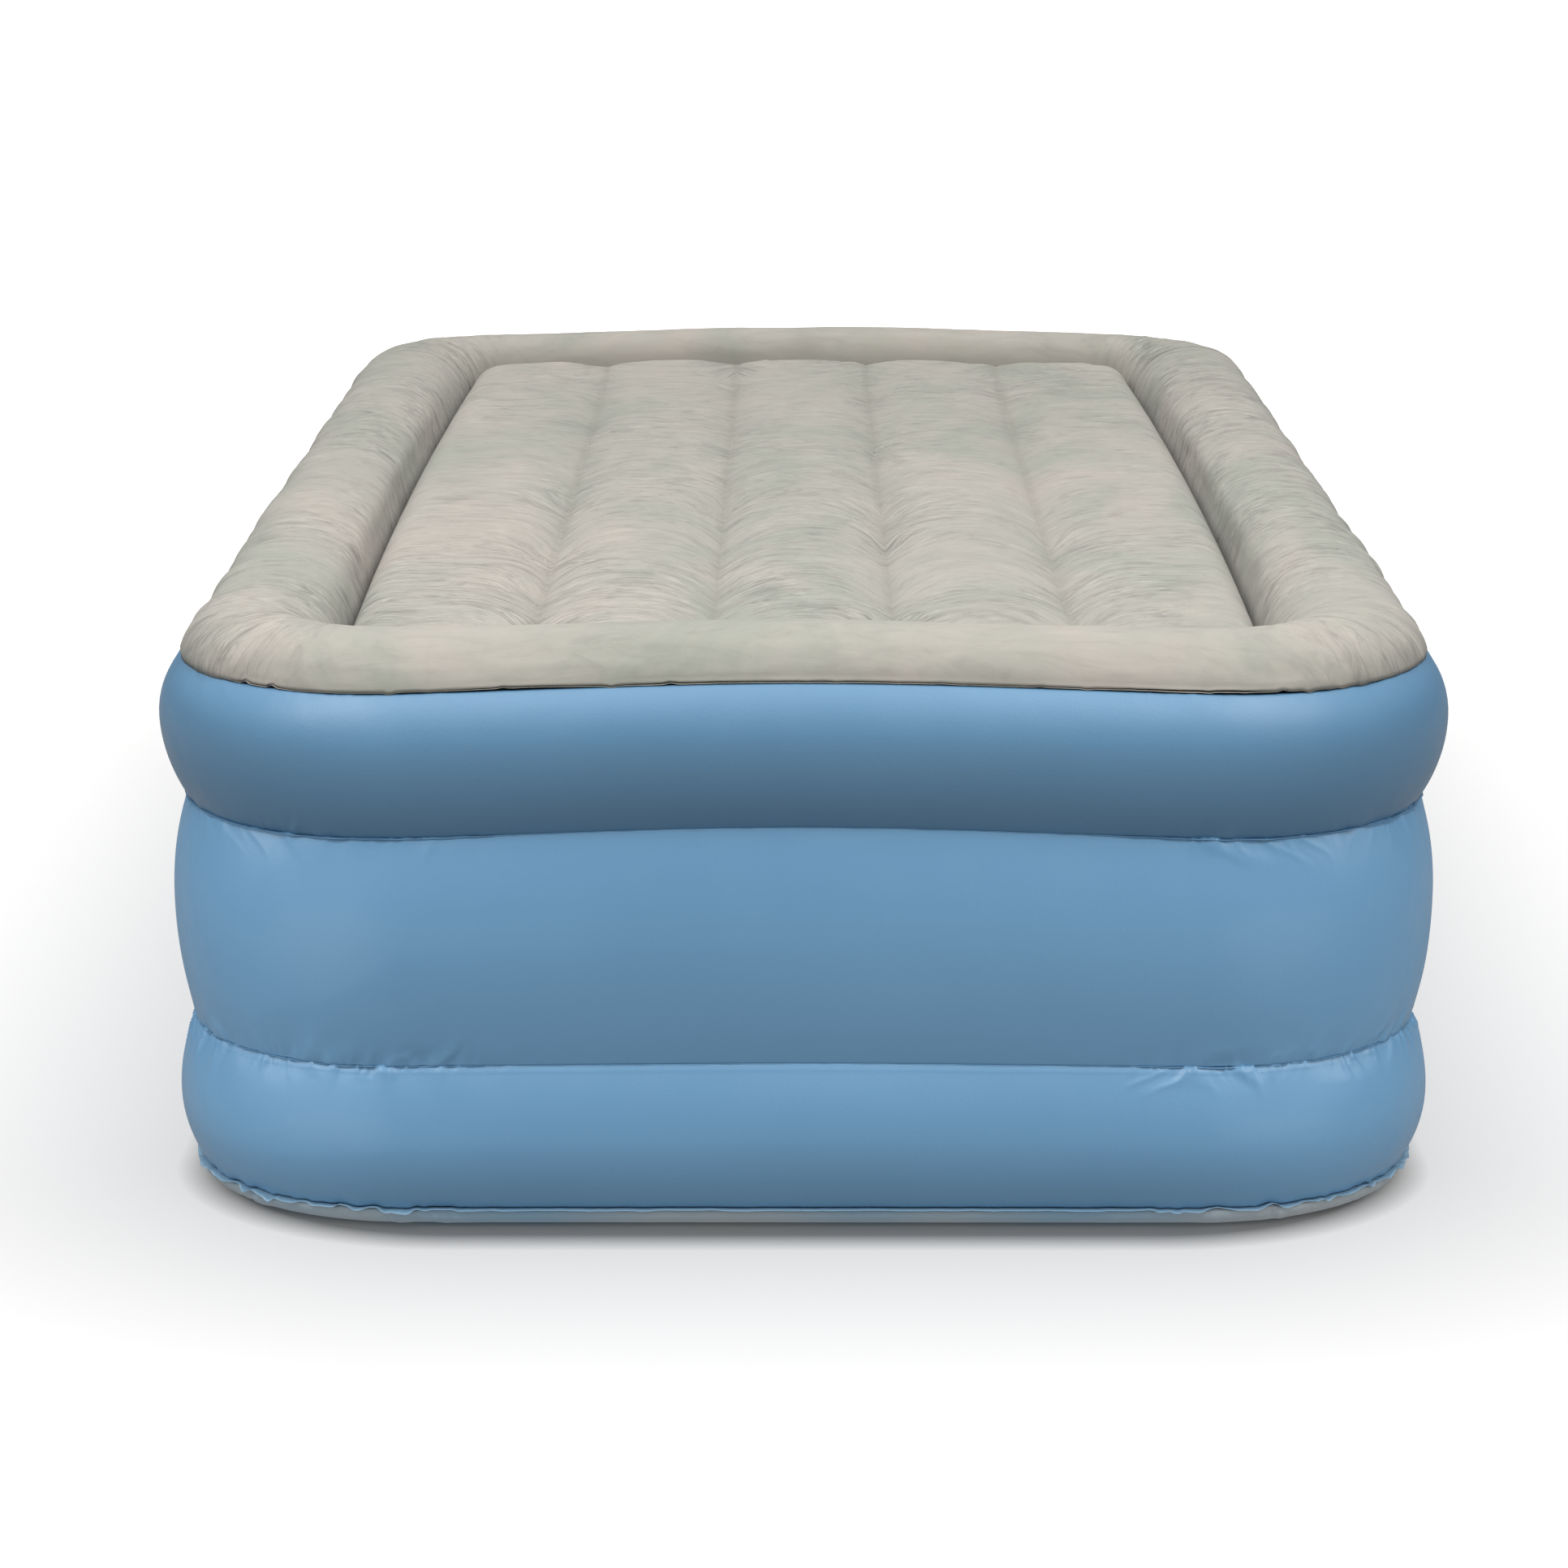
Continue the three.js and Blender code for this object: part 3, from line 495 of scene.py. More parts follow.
def plated_steel():
    paint = Paint("plated_steel", 0.32, 1.0)
    place = paint.position()
    brushed = paint.noise(paint.stretched(place, (60, 900, 60)), 1.0, 3, 0.6)
    paint.colour(paint.ramp(brushed, (0.3, (0.46, 0.47, 0.48)), (0.7, (0.62, 0.63, 0.64))))
    paint.set(paint.shader, "Roughness", paint.level(brushed, 0.25, 0.42, 0.3, 0.7))
    paint.bump(brushed, 0.00003)
    return paint.material


def red_insulation():
    paint = Paint("lead_insulation", 0.42)
    place = paint.position()
    drift = paint.noise(place, 90, 3, 0.5)
    paint.colour(paint.ramp(drift, (0.3, (0.25, 0.025, 0.02)), (0.7, (0.33, 0.04, 0.03))))
    paint.bump(paint.noise(place, 700, 2, 0.5), 0.00004)
    return paint.material


FLOCK = flocked_vinyl()
BLUE = vinyl("blue_vinyl", (0.121, 0.268, 0.434), (0.135, 0.291, 0.462), 0.37)
# A paler, greyer copy of the blue vinyl for the hem's lip: a painted highlight along the hem's edge, on the
# same blue film.
HEM_LIP_PAINTED_HIGHLIGHT = vinyl("hem_lip_painted_highlight_vinyl", (0.170, 0.300, 0.420), (0.210, 0.340, 0.450), 0.36)
UNDERSIDE = vinyl("underside_vinyl", (0.17, 0.33, 0.47), (0.44, 0.44, 0.42), 0.45)
INNER = vinyl("inner_vinyl", (0.26, 0.38, 0.49), (0.29, 0.41, 0.52), 0.45)
SLATE = plastic("slate_plastic", (0.040, 0.056, 0.074), 0.42)
BLACK = plastic("black_plastic", (0.010, 0.011, 0.012), 0.38, 1300)
PALE = plastic("pale_plastic", (0.56, 0.58, 0.57), 0.36, 1300)
RUBBER = rubber()
STEEL = plated_steel()
RED = red_insulation()


def dress(obj, material, slot, *replaced):
    """Gives a piece its material, and hides the CAD nodes that it stands for. The slot is not used."""
    obj.data.materials.clear()
    obj.data.materials.append(material)
    if replaced:
        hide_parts(*replaced)
    return obj


# ---------------------------------------------------------------- the vinyl side tiers
FLANGE_LOW, FLANGE_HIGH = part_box("socket_flange")
PUMP_CENTRE = (FLANGE_LOW + FLANGE_HIGH) / 2
HEAD_END = HALF_LENGTH - 50 * MM  # points beyond this are in the head end's face


def rounded_box_distance(x, z, half_x, half_z, radius):
    """The signed distance outside a rounded rectangle about the pump's centre."""
    dx = np.abs(x - PUMP_CENTRE.x) - (half_x - radius)
    dz = np.abs(z - PUMP_CENTRE.z) - (half_z - radius)
    outside = np.hypot(np.maximum(dx, 0), np.maximum(dz, 0))
    return outside + np.minimum(np.maximum(dx, dz), 0) - radius


def tier_section(low, crown, high, tuck):
    """A tier's outer line from its low weld up to its high one, each end tucked into its groove."""

    def half(end):
        rise, fall = end[1] - crown[1], crown[0] - end[0]
        radius = (rise * rise + fall * fall) / (2 * fall)
        reach = math.degrees(math.asin(min(1, abs(rise) / radius)))
        return radius, reach

    low_radius, low_reach = half(low)
    high_radius, high_reach = half(high)
    below = arc((crown[0] - low_radius, crown[1]), (low_radius, low_radius), -low_reach, 0)
    above = arc((crown[0] - high_radius, crown[1]), (high_radius, high_radius), 0, high_reach)
    line = np.concatenate([below, above[1:]])
    line = resample(line, 6 * MM, 1.5 * MM)
    first = (low[0] - tuck, low[1] - 0.2 * MM)
    last = (high[0] - tuck, high[1] + 0.2 * MM)
    return np.vstack([[first], line, [last]])


# Each size of pucker: its spacing, its share of the depth, and where it starts and fades, as
# shares of the reach.
PUCKER_SIZES = ((7.5 * MM, 0.8, 0.10, 0.40), (13 * MM, 1.0, 0.16, 0.6), (29 * MM, 0.9, 0.28, 1.0))


def puckers(rim, distance, seed, at_corner, at_side, reach):
    """Creases that run from a weld: strong round the corners, faint along the sides.

    They are close together at the weld and join into wider ones away from it.
    """
    swell, swell_count = rim.cells(0.06)
    drift = noise(swell[:, None], distance[None] * 30, seed + 9, swell_count)
    patch = smoothstep(-0.35, 0.45, noise(swell, 0.5, seed + 2, swell_count))
    amount = (at_side + (at_corner - at_side) * rim.corner) * (0.5 + 0.5 * patch)
    total = 0
    for size, share, start, fade in PUCKER_SIZES:
        around, count = rim.cells(size)
        shape = folds(around[:, None] + 0.9 * drift, distance[None] * 0.25 / size, seed, count)
        shape = np.maximum(shape, -0.2)  # ridges stand up from the film: its hollows stay shallow
        starting = 1 - np.exp(-((distance / (start * reach)) ** 2))
        fading = np.exp(-((distance / (fade * reach)) ** 2))
        total = total + share * shape * starting * fading
        seed += 1
    return amount[:, None] * total


def tier(low, crown, high, seed, pucker, bead=0.0):
    """A tier's grid of points. A bead is a raised line just under its upper weld."""
    section = tier_section(low, crown, high, 5 * MM)
    points = sweep(section)
    distance = section_lengths(section)
    up, down = distance, distance[-1] - distance
    around, count = RIM.cells(0.16)
    slow = noise(around[:, None], distance[None] * 9, seed + 20, count)
    push = 0.0011 * slow * np.sin(np.pi * distance / distance[-1])[None]
    push = push + puckers(RIM, up, seed, *pucker["low"])
    push = push + puckers(RIM, down, seed + 5, *pucker["high"])
    if bead:
        push = push + bead * np.exp(-(((down - 9.5 * MM) / (1.1 * MM)) ** 2))[None]
    points = points + normals_of(points, True) * push[..., None]
    points[:, [0, -1]] = sweep(section[[0, -1]])
    if bead:
        points[..., 2] += HEM_SHARE * ruffle(RIM)[:, None] * np.exp(-((up / 0.007) ** 2))[None]
    return settle(points)


def show_tier(name, node, points, keep=None):
    """A tier's grid as an object, without the faces that keep turns down."""
    rows, columns = points.shape[:2]
    faces = grid_faces(rows, columns, True, False)
    if keep is not None:
        faces = faces[keep(points.reshape(-1, 3)[faces].mean(1))]
    obj = new_object(name, points.reshape(-1, 3), faces)
    dress(obj, BLUE, "blue_vinyl", node)


def press_flat_round_pump(points):
    """Flattens the middle tier behind the pump's flange, and lets it swell back round it."""
    x, y, z = (points[..., k] for k in range(3))
    outside = rounded_box_distance(x, z, 0.115, 0.076, 0.030)
    flat = (1 - smoothstep(0.004, 0.055, outside)) * (y > HEAD_END)
    target = FLANGE_LOW.y - 0.4 * MM
    room = np.minimum(z - LOWER_WELD[1], UPPER_WELD[1] - z)
    flat = flat * smoothstep(0.0, 0.012, room)
    moved = points.copy()
    moved[..., 1] = y + (np.minimum(y, target) - y) * flat
    return moved


def pump_window(centres):
    """True for faces outside the hole that the pump's housing passes through."""
    inside = rounded_box_distance(centres[:, 0], centres[:, 2], 0.104, 0.065, 0.020) < 0
    return ~(inside & (centres[:, 1] > HEAD_END))


def side_tiers():
    """The three tiers. Each weld's puckers are (depth at the corners, depth between, reach)."""
    strong = {"low": (2.8 * MM, 0.14 * MM, 0.030), "high": (2.6 * MM, 0.14 * MM, 0.024)}
    soft = {"low": (1.5 * MM, 0.12 * MM, 0.024), "high": (0.9 * MM, 0.10 * MM, 0.016)}
    hem = {"low": (1.6 * MM, 0.16 * MM, 0.014), "high": (4.0 * MM, 0.16 * MM, 0.028)}
    top = (TOP_SEAM[0] + 0.2 * MM, TOP_SEAM[1] - 1.9 * MM)
    upper = tier(UPPER_WELD, UPPER_CROWN, top, 11, soft)
    show_tier("upper_tier", "upper_side_band", upper)
    middle = tier(LOWER_WELD, MIDDLE_CROWN, UPPER_WELD, 31, strong)
    show_tier("middle_tier", "middle_side_band", press_flat_round_pump(middle), pump_window)
    foot = (HEM[0], HEM[1] + 1.5 * MM)
    lower = tier(foot, LOWER_CROWN, LOWER_WELD, 51, hem, 0.35 * MM)
    show_tier("lower_tier", "lower_side_band", lower)


# ---------------------------------------------------------------- lips, hem and base
LIP_RIM = Outline(3 * MM, 2 * MM)


def nicks(rim, spacing, depth, width, seed):
    """Small pinches at odd places round a lip."""
    random = np.random.default_rng(seed)
    count = round(rim.total / spacing)
    places = (np.arange(count) + random.uniform(-0.4, 0.4, count)) * spacing
    depths = depth * random.uniform(-1.0, 1.0, count) ** 3
    total = np.zeros_like(rim.along)
    for place, size in zip(places, depths):
        apart = (rim.along - place + rim.total / 2) % rim.total - rim.total / 2
        total += size * np.exp(-((apart / width) ** 2))
    return total


def seam_wave(rim):
    """How the flocked edge rises and falls along its seam."""
    near, near_count = rim.cells(0.030)
    far, far_count = rim.cells(0.11)
    ripple = 0.35 * MM * noise(near, 0.5, 71, near_count) + 0.7 * MM * noise(far, 0.5, 72, far_count)
    return ripple + nicks(rim, 0.030, 2.4 * MM, 3.5 * MM, 73)


def ruffle(rim):
    """How the hem's free edge waves up and down: strongly round the corners."""
    total = 0
    for size, share, seed in ((0.0065, 0.5, 101), (0.013, 0.9, 102), (0.047, 0.5, 103)):
        around, count = rim.cells(size)
        total = total + share * noise(around, 0.5, seed, count)
    return total * (0.45 * MM + 3.2 * MM * rim.corner)


HEM_SHARE = 0.65  # how much of the edge's wave is left where the hem is welded


def thin_ring(name, inner, reach, height, thickness, wave, seed, ragged=0.0, tilt=0.0):
    """A thin welded lip, rounded at its outer edge, from one inset out to another.

    reach and wave are pairs: at the corners, and along the straight sides. wave may instead
    be a height for each point. ragged wanders the outer edge, and tilt is its rise.
    """
    rim = LIP_RIM
    around, count = rim.cells(0.013)
    slow, slow_count = rim.cells(0.047)
    if isinstance(wave, tuple):
        ripple = 0.5 * noise(around, 0.5, seed, count) + 0.9 * noise(slow, 0.5, seed + 1, slow_count)
        wave = ripple * (wave[1] + (wave[0] - wave[1]) * rim.corner)
    edge = reach[1] + (reach[0] - reach[1]) * rim.corner
    edge = edge + ragged * (0.2 + rim.corner) * noise(around, 3.5, seed + 2, count)
    top, bottom = [], []
    for t in np.linspace(0, 1, 7):
        plan = rim.at(inner + (edge - inner) * t)
        z = height + tilt * t + wave * t
        half = thickness / 2 * math.sqrt(max(0.04, 1 - t**8))
        top.append(np.column_stack([plan, z + half]))
        bottom.append(np.column_stack([plan, z - half]))
    points = np.stack(bottom + top[::-1], axis=1)
    faces = grid_faces(points.shape[0], points.shape[1], True, True)
    obj = new_object(name, settle(points).reshape(-1, 3), faces)
    set_grain(obj, *np.meshgrid(np.arange(14) * 1.5 * MM, rim.along), 0.3)
    return obj


def weld_lip(name, weld, reach, wave, seed, ragged, tilt):
    """The thin fold of film that stands out of the groove between two tiers."""
    reach = (weld[0] + reach[0], weld[0] + reach[1])
    lip = thin_ring(name, weld[0] - WELD_OVERLAP, reach, weld[1], FILM, wave, seed, ragged, tilt)
    dress(lip, BLUE, "blue_vinyl")


def lips():
    """The flocked top's edge, the folds in the two grooves, and the hem."""
    edge = (TOP_SEAM[0] + 0.9 * MM,) * 2
    wave = seam_wave(LIP_RIM)
    seam = thin_ring("top_lip", TOP_SEAM[0] - 9 * MM, edge, TOP_SEAM[1] - 0.5 * MM, FILM, wave, 71)
    dress(seam, FLOCK, "flocked_vinyl", "top_weld_flange")
    upper, lower = (2.4 * MM, 0.4 * MM), (1.2 * MM, 0.5 * MM)
    weld_lip("upper_weld_lip", UPPER_WELD, upper, (1.0 * MM, 0.15 * MM), 81, 1.4 * MM, -0.5 * MM)
    weld_lip("lower_weld_lip", LOWER_WELD, lower, (0.8 * MM, 0.12 * MM), 91, 0.8 * MM, -0.3 * MM)
    edge = (HEM[0] + 4.6 * MM, HEM[0] + 4.0 * MM)
    wave = ruffle(LIP_RIM)
    inner = HEM[0] - WELD_OVERLAP
    hem = thin_ring("hem_lip", inner, edge, HEM[1], 0.8 * MM, wave, 101, 1.8 * MM, -0.4 * MM)
    dress(hem, HEM_LIP_PAINTED_HIGHLIGHT, "blue_vinyl", "hem_weld_flange")


def base_sheet():
    """The floor sheet: flat under the bed, turned up at its edge to the hem."""
    flat, turn = HEM[0] - 14 * MM, 12 * MM
    line = [(HEM[0] - 6 * MM, HEM[1] - 0.5 * MM), (HEM[0] + 0.5 * MM, HEM[1] - 1.2 * MM)]
    curve = arc((flat, turn), (HEM[0] + 1 * MM - flat, turn), 0, -90, 14)
    section = np.vstack([line, curve, [(x, 0) for x in np.linspace(flat - 8 * MM, -0.30, 20)]])
    section[:, 1] = np.maximum(section[:, 1], 0.0)
    points = sweep(section)
    distance = section_lengths(section)
    push = puckers(RIM, np.abs(distance - 7.5 * MM), 111, 2.6 * MM, 0.35 * MM, 0.018)
    points = points + normals_of(points, True) * -push[..., None]
    points[..., 2] += HEM_SHARE * ruffle(RIM)[:, None] * np.exp(-((distance / 0.009) ** 2))[None]
    points[..., 2] = np.maximum(points[..., 2], 0.0)
    rows, columns = points.shape[:2]
    obj = new_object("base", settle(points).reshape(-1, 3), grid_faces(rows, columns, True, False))
    close_middle(obj, [i * columns + columns - 1 for i in range(rows)])
    dress(obj, UNDERSIDE, "base_vinyl", "base_sheet")


def close_middle(obj, ring):
    """Fills the sheet's middle with one flat face inside a ring of its points."""
    mesh = bmesh.new()
    mesh.from_mesh(obj.data)
    mesh.verts.ensure_lookup_table()
    mesh.faces.new([mesh.verts[i] for i in ring])
    bmesh.ops.recalc_face_normals(mesh, faces=mesh.faces)
    mesh.to_mesh(obj.data)
    mesh.free()


# ---------------------------------------------------------------- the flocked top
def border_section():
    """The border's line: from under its outer seam, over the top, and down to its foot."""
    seam = (TOP_SEAM[0] + 0.8 * MM, TOP_SEAM[1] - 0.3 * MM)
    spring = 11 * MM  # the outer arc springs from this far below the seam
    rise = BORDER_TOP[1] - seam[1] + spring
    start = math.degrees(math.asin(spring / rise))
    reach = (seam[0] - BORDER_TOP[0]) / math.cos(math.radians(start))
    outer = arc((BORDER_TOP[0], seam[1] - spring), (reach, rise), start, 90)
    inner = arc(
        (BORDER_TOP[0], BORDER_FOOT[1]),
        (BORDER_TOP[0] - BORDER_FOOT[0], BORDER_TOP[1] - BORDER_FOOT[1]), 90, 180, fullness=2.15,
    )
    tucked = [(BORDER_FOOT[0] - 0.5 * MM, BORDER_FOOT[1] - 6 * MM)]
    line = resample(np.vstack([outer, inner[1:], tucked]), 4.4 * MM, 3 * MM)
    return np.vstack([[(seam[0] - WELD_OVERLAP, seam[1])], line])


def border_push(rim, distance, inward, on_side):
    """How far the border stands in or out of its swept shape: puckers, lumps, ribs and threads.

    The lumps and ribs run across the tube on the long sides, and scallop its outer edge.
    """
    around, count = rim.cells(0.15)
    drift = noise(around[:, None], distance[None] * 12, 140, count)
    push = puckers(rim, np.maximum(distance, 0), 121, 1.5 * MM, 0.5 * MM, 0.045)
    push = push + puckers(rim, np.maximum(inward - 6 * MM, 0), 131, 2.2 * MM, 0.8 * MM, 0.040)
    push = push + 1.2 * MM * drift
    layers = ((0.085, 0.5, 5, 151), (0.037, 0.9, 9, 152), (0.0115, 2.4, 16, 153))
    lump, rib, thread = (
        folds(cells[:, None] + bend * drift, distance[None] * rate, seed, cell_count)
        for (cells, cell_count), bend, rate, seed in (
            (rim.cells(size), bend, rate, seed) for size, bend, rate, seed in layers
        )
    )
    strength = (0.12 + 0.88 * on_side)[:, None]
    fade = 0.35 + 0.65 * np.exp(-((distance / 0.05) ** 2))
    swell = np.exp(-(((distance - 0.03) / 0.03) ** 2))
    push = push + strength * (1.9 * MM * lump + 1.3 * MM * rib) * fade[None]
    push = push + (0.25 + 0.75 * on_side)[:, None] * 0.35 * MM * thread
    push = push + 2.6 * MM * on_side[:, None] * swell[None]
    return push + end_creases(rim, distance)


def border_pile(rim, distance, inward):
    """How brushed the border's pile is, and how far painted shade darkens it: on its inner walls and beside
    its top seam.
    """
    facing_side = np.abs(rim.normal[:, 0])
    brushed = (0.1 + 0.9 * smoothstep(0.35, 0.95, facing_side))[:, None]
    brushed = brushed * (0.8 + 0.4 * smoothstep(0.10, 0.05, inward))[None]
    # Painted shade on the inner walls, deeper and wider on the far end's wall, and along the edge beside the
    # top seam.
    head = smoothstep(0.3, 0.9, rim.normal[:, 1])[:, None]
    wall = smoothstep(0.052 + 0.035 * head, 0.006 + 0.02 * head, inward[None])
    shade = (0.45 + 0.30 * head) * wall + 0.15 * smoothstep(0.012, 0.0, distance)[None]
    return brushed, shade


def border_tube():
    section = border_section()
    rim = TUBE_RIM
    points = sweep(section, rim)
    distance = section_lengths(section) - WELD_OVERLAP
    inward = distance[-1] - distance
    on_side = smoothstep(0.2, 0.8, np.abs(rim.normal[:, 0]))
    push = border_push(rim, distance, inward, on_side)
    points = points + normals_of(points, True) * push[..., None]
    points[:, 0] = sweep(section[:1], rim)[:, 0]
    near_seam = np.exp(-((np.maximum(distance, 0) / 0.008) ** 2))
    points[:, :, 2] += seam_wave(rim)[:, None] * near_seam[None]
    points[..., 0] += bow(points) * smoothstep(0.03, 0.0, inward - 0.03)[None]
    points = settle(points)
    rows, columns = points.shape[:2]
    obj = new_object("border_tube", points.reshape(-1, 3), grid_faces(rows, columns, True, False))
    brushed, shade = border_pile(rim, distance, inward)
    steps = np.diff(rim.along, append=rim.total) * (0.15 + 0.85 * on_side)
    lie = np.concatenate([[0.0], np.cumsum(steps)[:-1]])  # drawn out along the two ends
    set_grain(obj, distance[None], lie[:, None], brushed, shade)
    dress(obj, FLOCK, "flocked_vinyl", "border_ring")


def end_creases(rim, distance):
    """Long shallow creases that run along the border's two ends."""
    on_end = smoothstep(0.7, 0.98, np.abs(rim.normal[:, 1]))
    around, count = rim.cells(0.09)
    crease = folds(around[:, None] + 18 * distance[None], distance[None] * 75, 161, count)
    return 0.7 * MM * on_end[:, None] * crease


def bow(points):
    """How far the groove beside the sleeping surface bows outwards, midway down the bed."""
    x, y = points[..., 0], points[..., 1]
    along = np.clip(np.abs(y) / 0.72, 0, 1)
    return np.sign(x) * 8 * MM * (1 - along**2) * smoothstep(0.25, 0.34, np.abs(x))


def inside_panel(x, y):
    """How far inside the sleeping surface's rounded outline each point lies."""
    half_x, half_y = PANEL_HIGH.x + 1 * MM, PANEL_HIGH.y + 1 * MM
    dx = np.abs(x) - (half_x - INNER_CORNER)
    dy = np.abs(y) - (half_y - INNER_CORNER)
    outside = np.hypot(np.maximum(dx, 0), np.maximum(dy, 0)) + np.minimum(np.maximum(dx, dy), 0)
    return INNER_CORNER - outside


def gather_points():
    """Where each channel seam gathers the cloth: places along it, and how strongly."""
    random = np.random.default_rng(301)
    count = 9
    ends = PANEL_HIGH.y - 14 * MM
    places = np.linspace(-ends, ends, count) + random.uniform(-0.03, 0.03, (4, count))
    strengths = random.uniform(0.3, 0.95, (4, count))
    places[:, 0], places[:, -1] = -ends, ends
    strengths[:, 0], strengths[:, -1] = 1.1, 0.8
    return places, strengths


def lie_of_cloth(y, ratio, nearest):
    """The coordinate that the creases follow, and how gathered the cloth is.

    It bows within each channel and closes up at the seams' gather points.
    """
    places, strengths = gather_points()
    near_seam = np.exp(-((ratio / 0.5) ** 2))
    apart = y[..., None] - places[nearest]
    pull = strengths[nearest] * np.exp(-((apart / 0.07) ** 2))
    bowed = 0.048 * (1 - ratio) ** 2 * np.sign(y) * smoothstep(0.0, 0.25, np.abs(y))
    closing = 1.0 * near_seam * (pull * apart).sum(-1)
    return y - bowed + closing, near_seam * pull.sum(-1)


def panel_grid():
    """The x and y of a square grid that covers the sleeping surface and a little more."""
    spacing, margin = 3.6 * MM, 10 * MM
    half = (PANEL_HIGH.x + margin, PANEL_HIGH.y + margin)
    xs, ys = (np.linspace(-reach, reach, round(2 * reach / spacing)) for reach in half)
    return np.meshgrid(xs, ys, indexing="ij")


def panel_height(inward, ratio, end):
    """The channels' height: crowned between seams, and rounded down to the border's foot."""
    depth = 16 * MM * (0.4 + 0.6 * smoothstep(0.02, 0.22, end))
    top = PANEL_HIGH.z - depth * (1 - ratio) ** 2.6
    foot = BORDER_FOOT[1] - 3 * MM
    rounded = np.sqrt(1 - (1 - np.clip(inward / 0.040, 0, 1)) ** 2.4)
    return foot + (top - foot) * rounded


def sleeping_surface():
    x, y = panel_grid()
    inward = inside_panel(x, y)
    seams = np.array(CHANNEL_SEAMS)
    nearest = np.abs(x[..., None] - seams).argmin(-1)
    offset = x - seams[nearest]
    ratio = np.clip(np.abs(offset) / ((seams[1] - seams[0]) / 2), 0, 1)
    end = HALF_LENGTH - BORDER_REACH - np.abs(y)
    points = np.stack([x, y, panel_height(inward, ratio, end)], axis=-1)
    lie, gathered = lie_of_cloth(y, ratio, nearest)
    push = channel_creases(x, y, lie, gathered, offset, np.searchsorted(seams, x), end)
    push = push * smoothstep(0.0, 0.02, inward)
    points = points + normals_of(points, False) * push[..., None]
    points[..., 0] += bow(points)
    points = settle(points)
    faces = grid_faces(*x.shape, False, False)
    faces = faces[inward.reshape(-1)[faces].min(1) > -12 * MM]
    used = np.unique(faces)
    renumbered = np.searchsorted(used, faces)
    obj = new_object("sleeping_surface", points.reshape(-1, 3)[used], renumbered)
    at_foot = smoothstep(0.5, 0.1, end) * (y < 0)
    brushed = 0.55 + 0.45 * at_foot + 0.3 * np.minimum(gathered, 1)
    # Painted shade along the channel seams' creases and round the surface's edge at the groove.
    seam = 0.30 * np.exp(-((offset / 0.004) ** 2)) + 0.07 * np.exp(-((offset / 0.016) ** 2))
    shade = seam + 0.5 * smoothstep(0.008, 0.0, inward)
    set_grain(obj, *(part.reshape(-1)[used] for part in (x, lie, brushed, shade)))
    dress(obj, FLOCK, "flocked_vinyl", "sleeping_panel")


def channel_creases(x, y, lie, gathered, offset, channel, end):
    """Creases across the channels: fans from each seam's gathers, and finer ones over all."""
    wander = lie + 9 * MM * noise(x * 26 + channel * 7.7, y * 16, 203)
    fan = folds(x * 14 + channel * 5.1, wander / 0.013, 202)
    broad = folds(x * 9 + channel * 3.1, wander / 0.030, 204)
    fine = folds(x * 15 + channel * 9.1, wander / 0.0095, 205)
    pinch = noise(x * 30, wander / 0.011, 206) * np.exp(-np.abs(offset) / 0.010)
    ends = np.exp(-end / 0.16) * (1 + 0.5 * (y < 0))
    patch = 0.6 + 0.4 * noise(x * 7, y * 6, 207)
    return patch * MM * (
        (2.2 + 1.2 * ends) * gathered * fan
        + (0.9 + 1.8 * ends) * broad
        + 0.55 * fine
        + 0.9 * pinch
    )


# ---------------------------------------------------------------- inside the bed
def copy_of(node, name):
    """A free copy of a CAD node's mesh, where the node is."""
    obj = NODES[node].copy()
    obj.data = NODES[node].data.copy()
    obj.name = name
    obj.data.name = name
    obj.parent = None
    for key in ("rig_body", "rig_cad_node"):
        if key in obj:
            del obj[key]
    bpy.context.scene.collection.objects.link(obj)
    return obj


def slimmed(node, name, margin, thickness):
    """A thinner copy of a flat CAD sheet, drawn in from the welds by a margin."""
    low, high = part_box(node)
    obj = copy_of(node, name)
    middle = (low.z + high.z) / 2
    scale = (1 - margin / high.x, 1 - margin / high.y, thickness / (high.z - low.z))
    down, back = Matrix.Translation((0, 0, -middle)), Matrix.Translation((0, 0, middle))
    obj.data.transform(back @ Matrix.Diagonal((*scale, 1)) @ down)
    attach(obj, "mattress")
    return obj


def inner_sheets():
    """The two sheets across the bed, near their real thinness."""
    for node, name in (("upper_deck_sheet", "deck_sheet"), ("lower_girdle_sheet", "girdle_sheet")):
        sheet = slimmed(node, name, 5 * MM, 0.8 * MM)
        dress(sheet, INNER, "inner_vinyl", node)


def valve_spring():
    """A copy of the valve's spring that rides on the mattress, in steel, in place of its CAD node."""
    spring = copy_of("valve_spring", "shown_valve_spring")
    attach(spring, "mattress")
    dress(spring, STEEL, "steel", "valve_spring")
    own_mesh(spring)


LARGEST_EASED = 0.3  # the pump's parts are smaller than this, and the bed's own sheets larger


def ease_edges(obj):
    bevel = obj.modifiers.new("eased edges", "BEVEL")
    bevel.width = 0.35 * MM
    bevel.segments = 2
    bevel.limit_method = "ANGLE"
    bevel.angle_limit = math.radians(40)
    bevel.harden_normals = False
    bevel.use_clamp_overlap = True


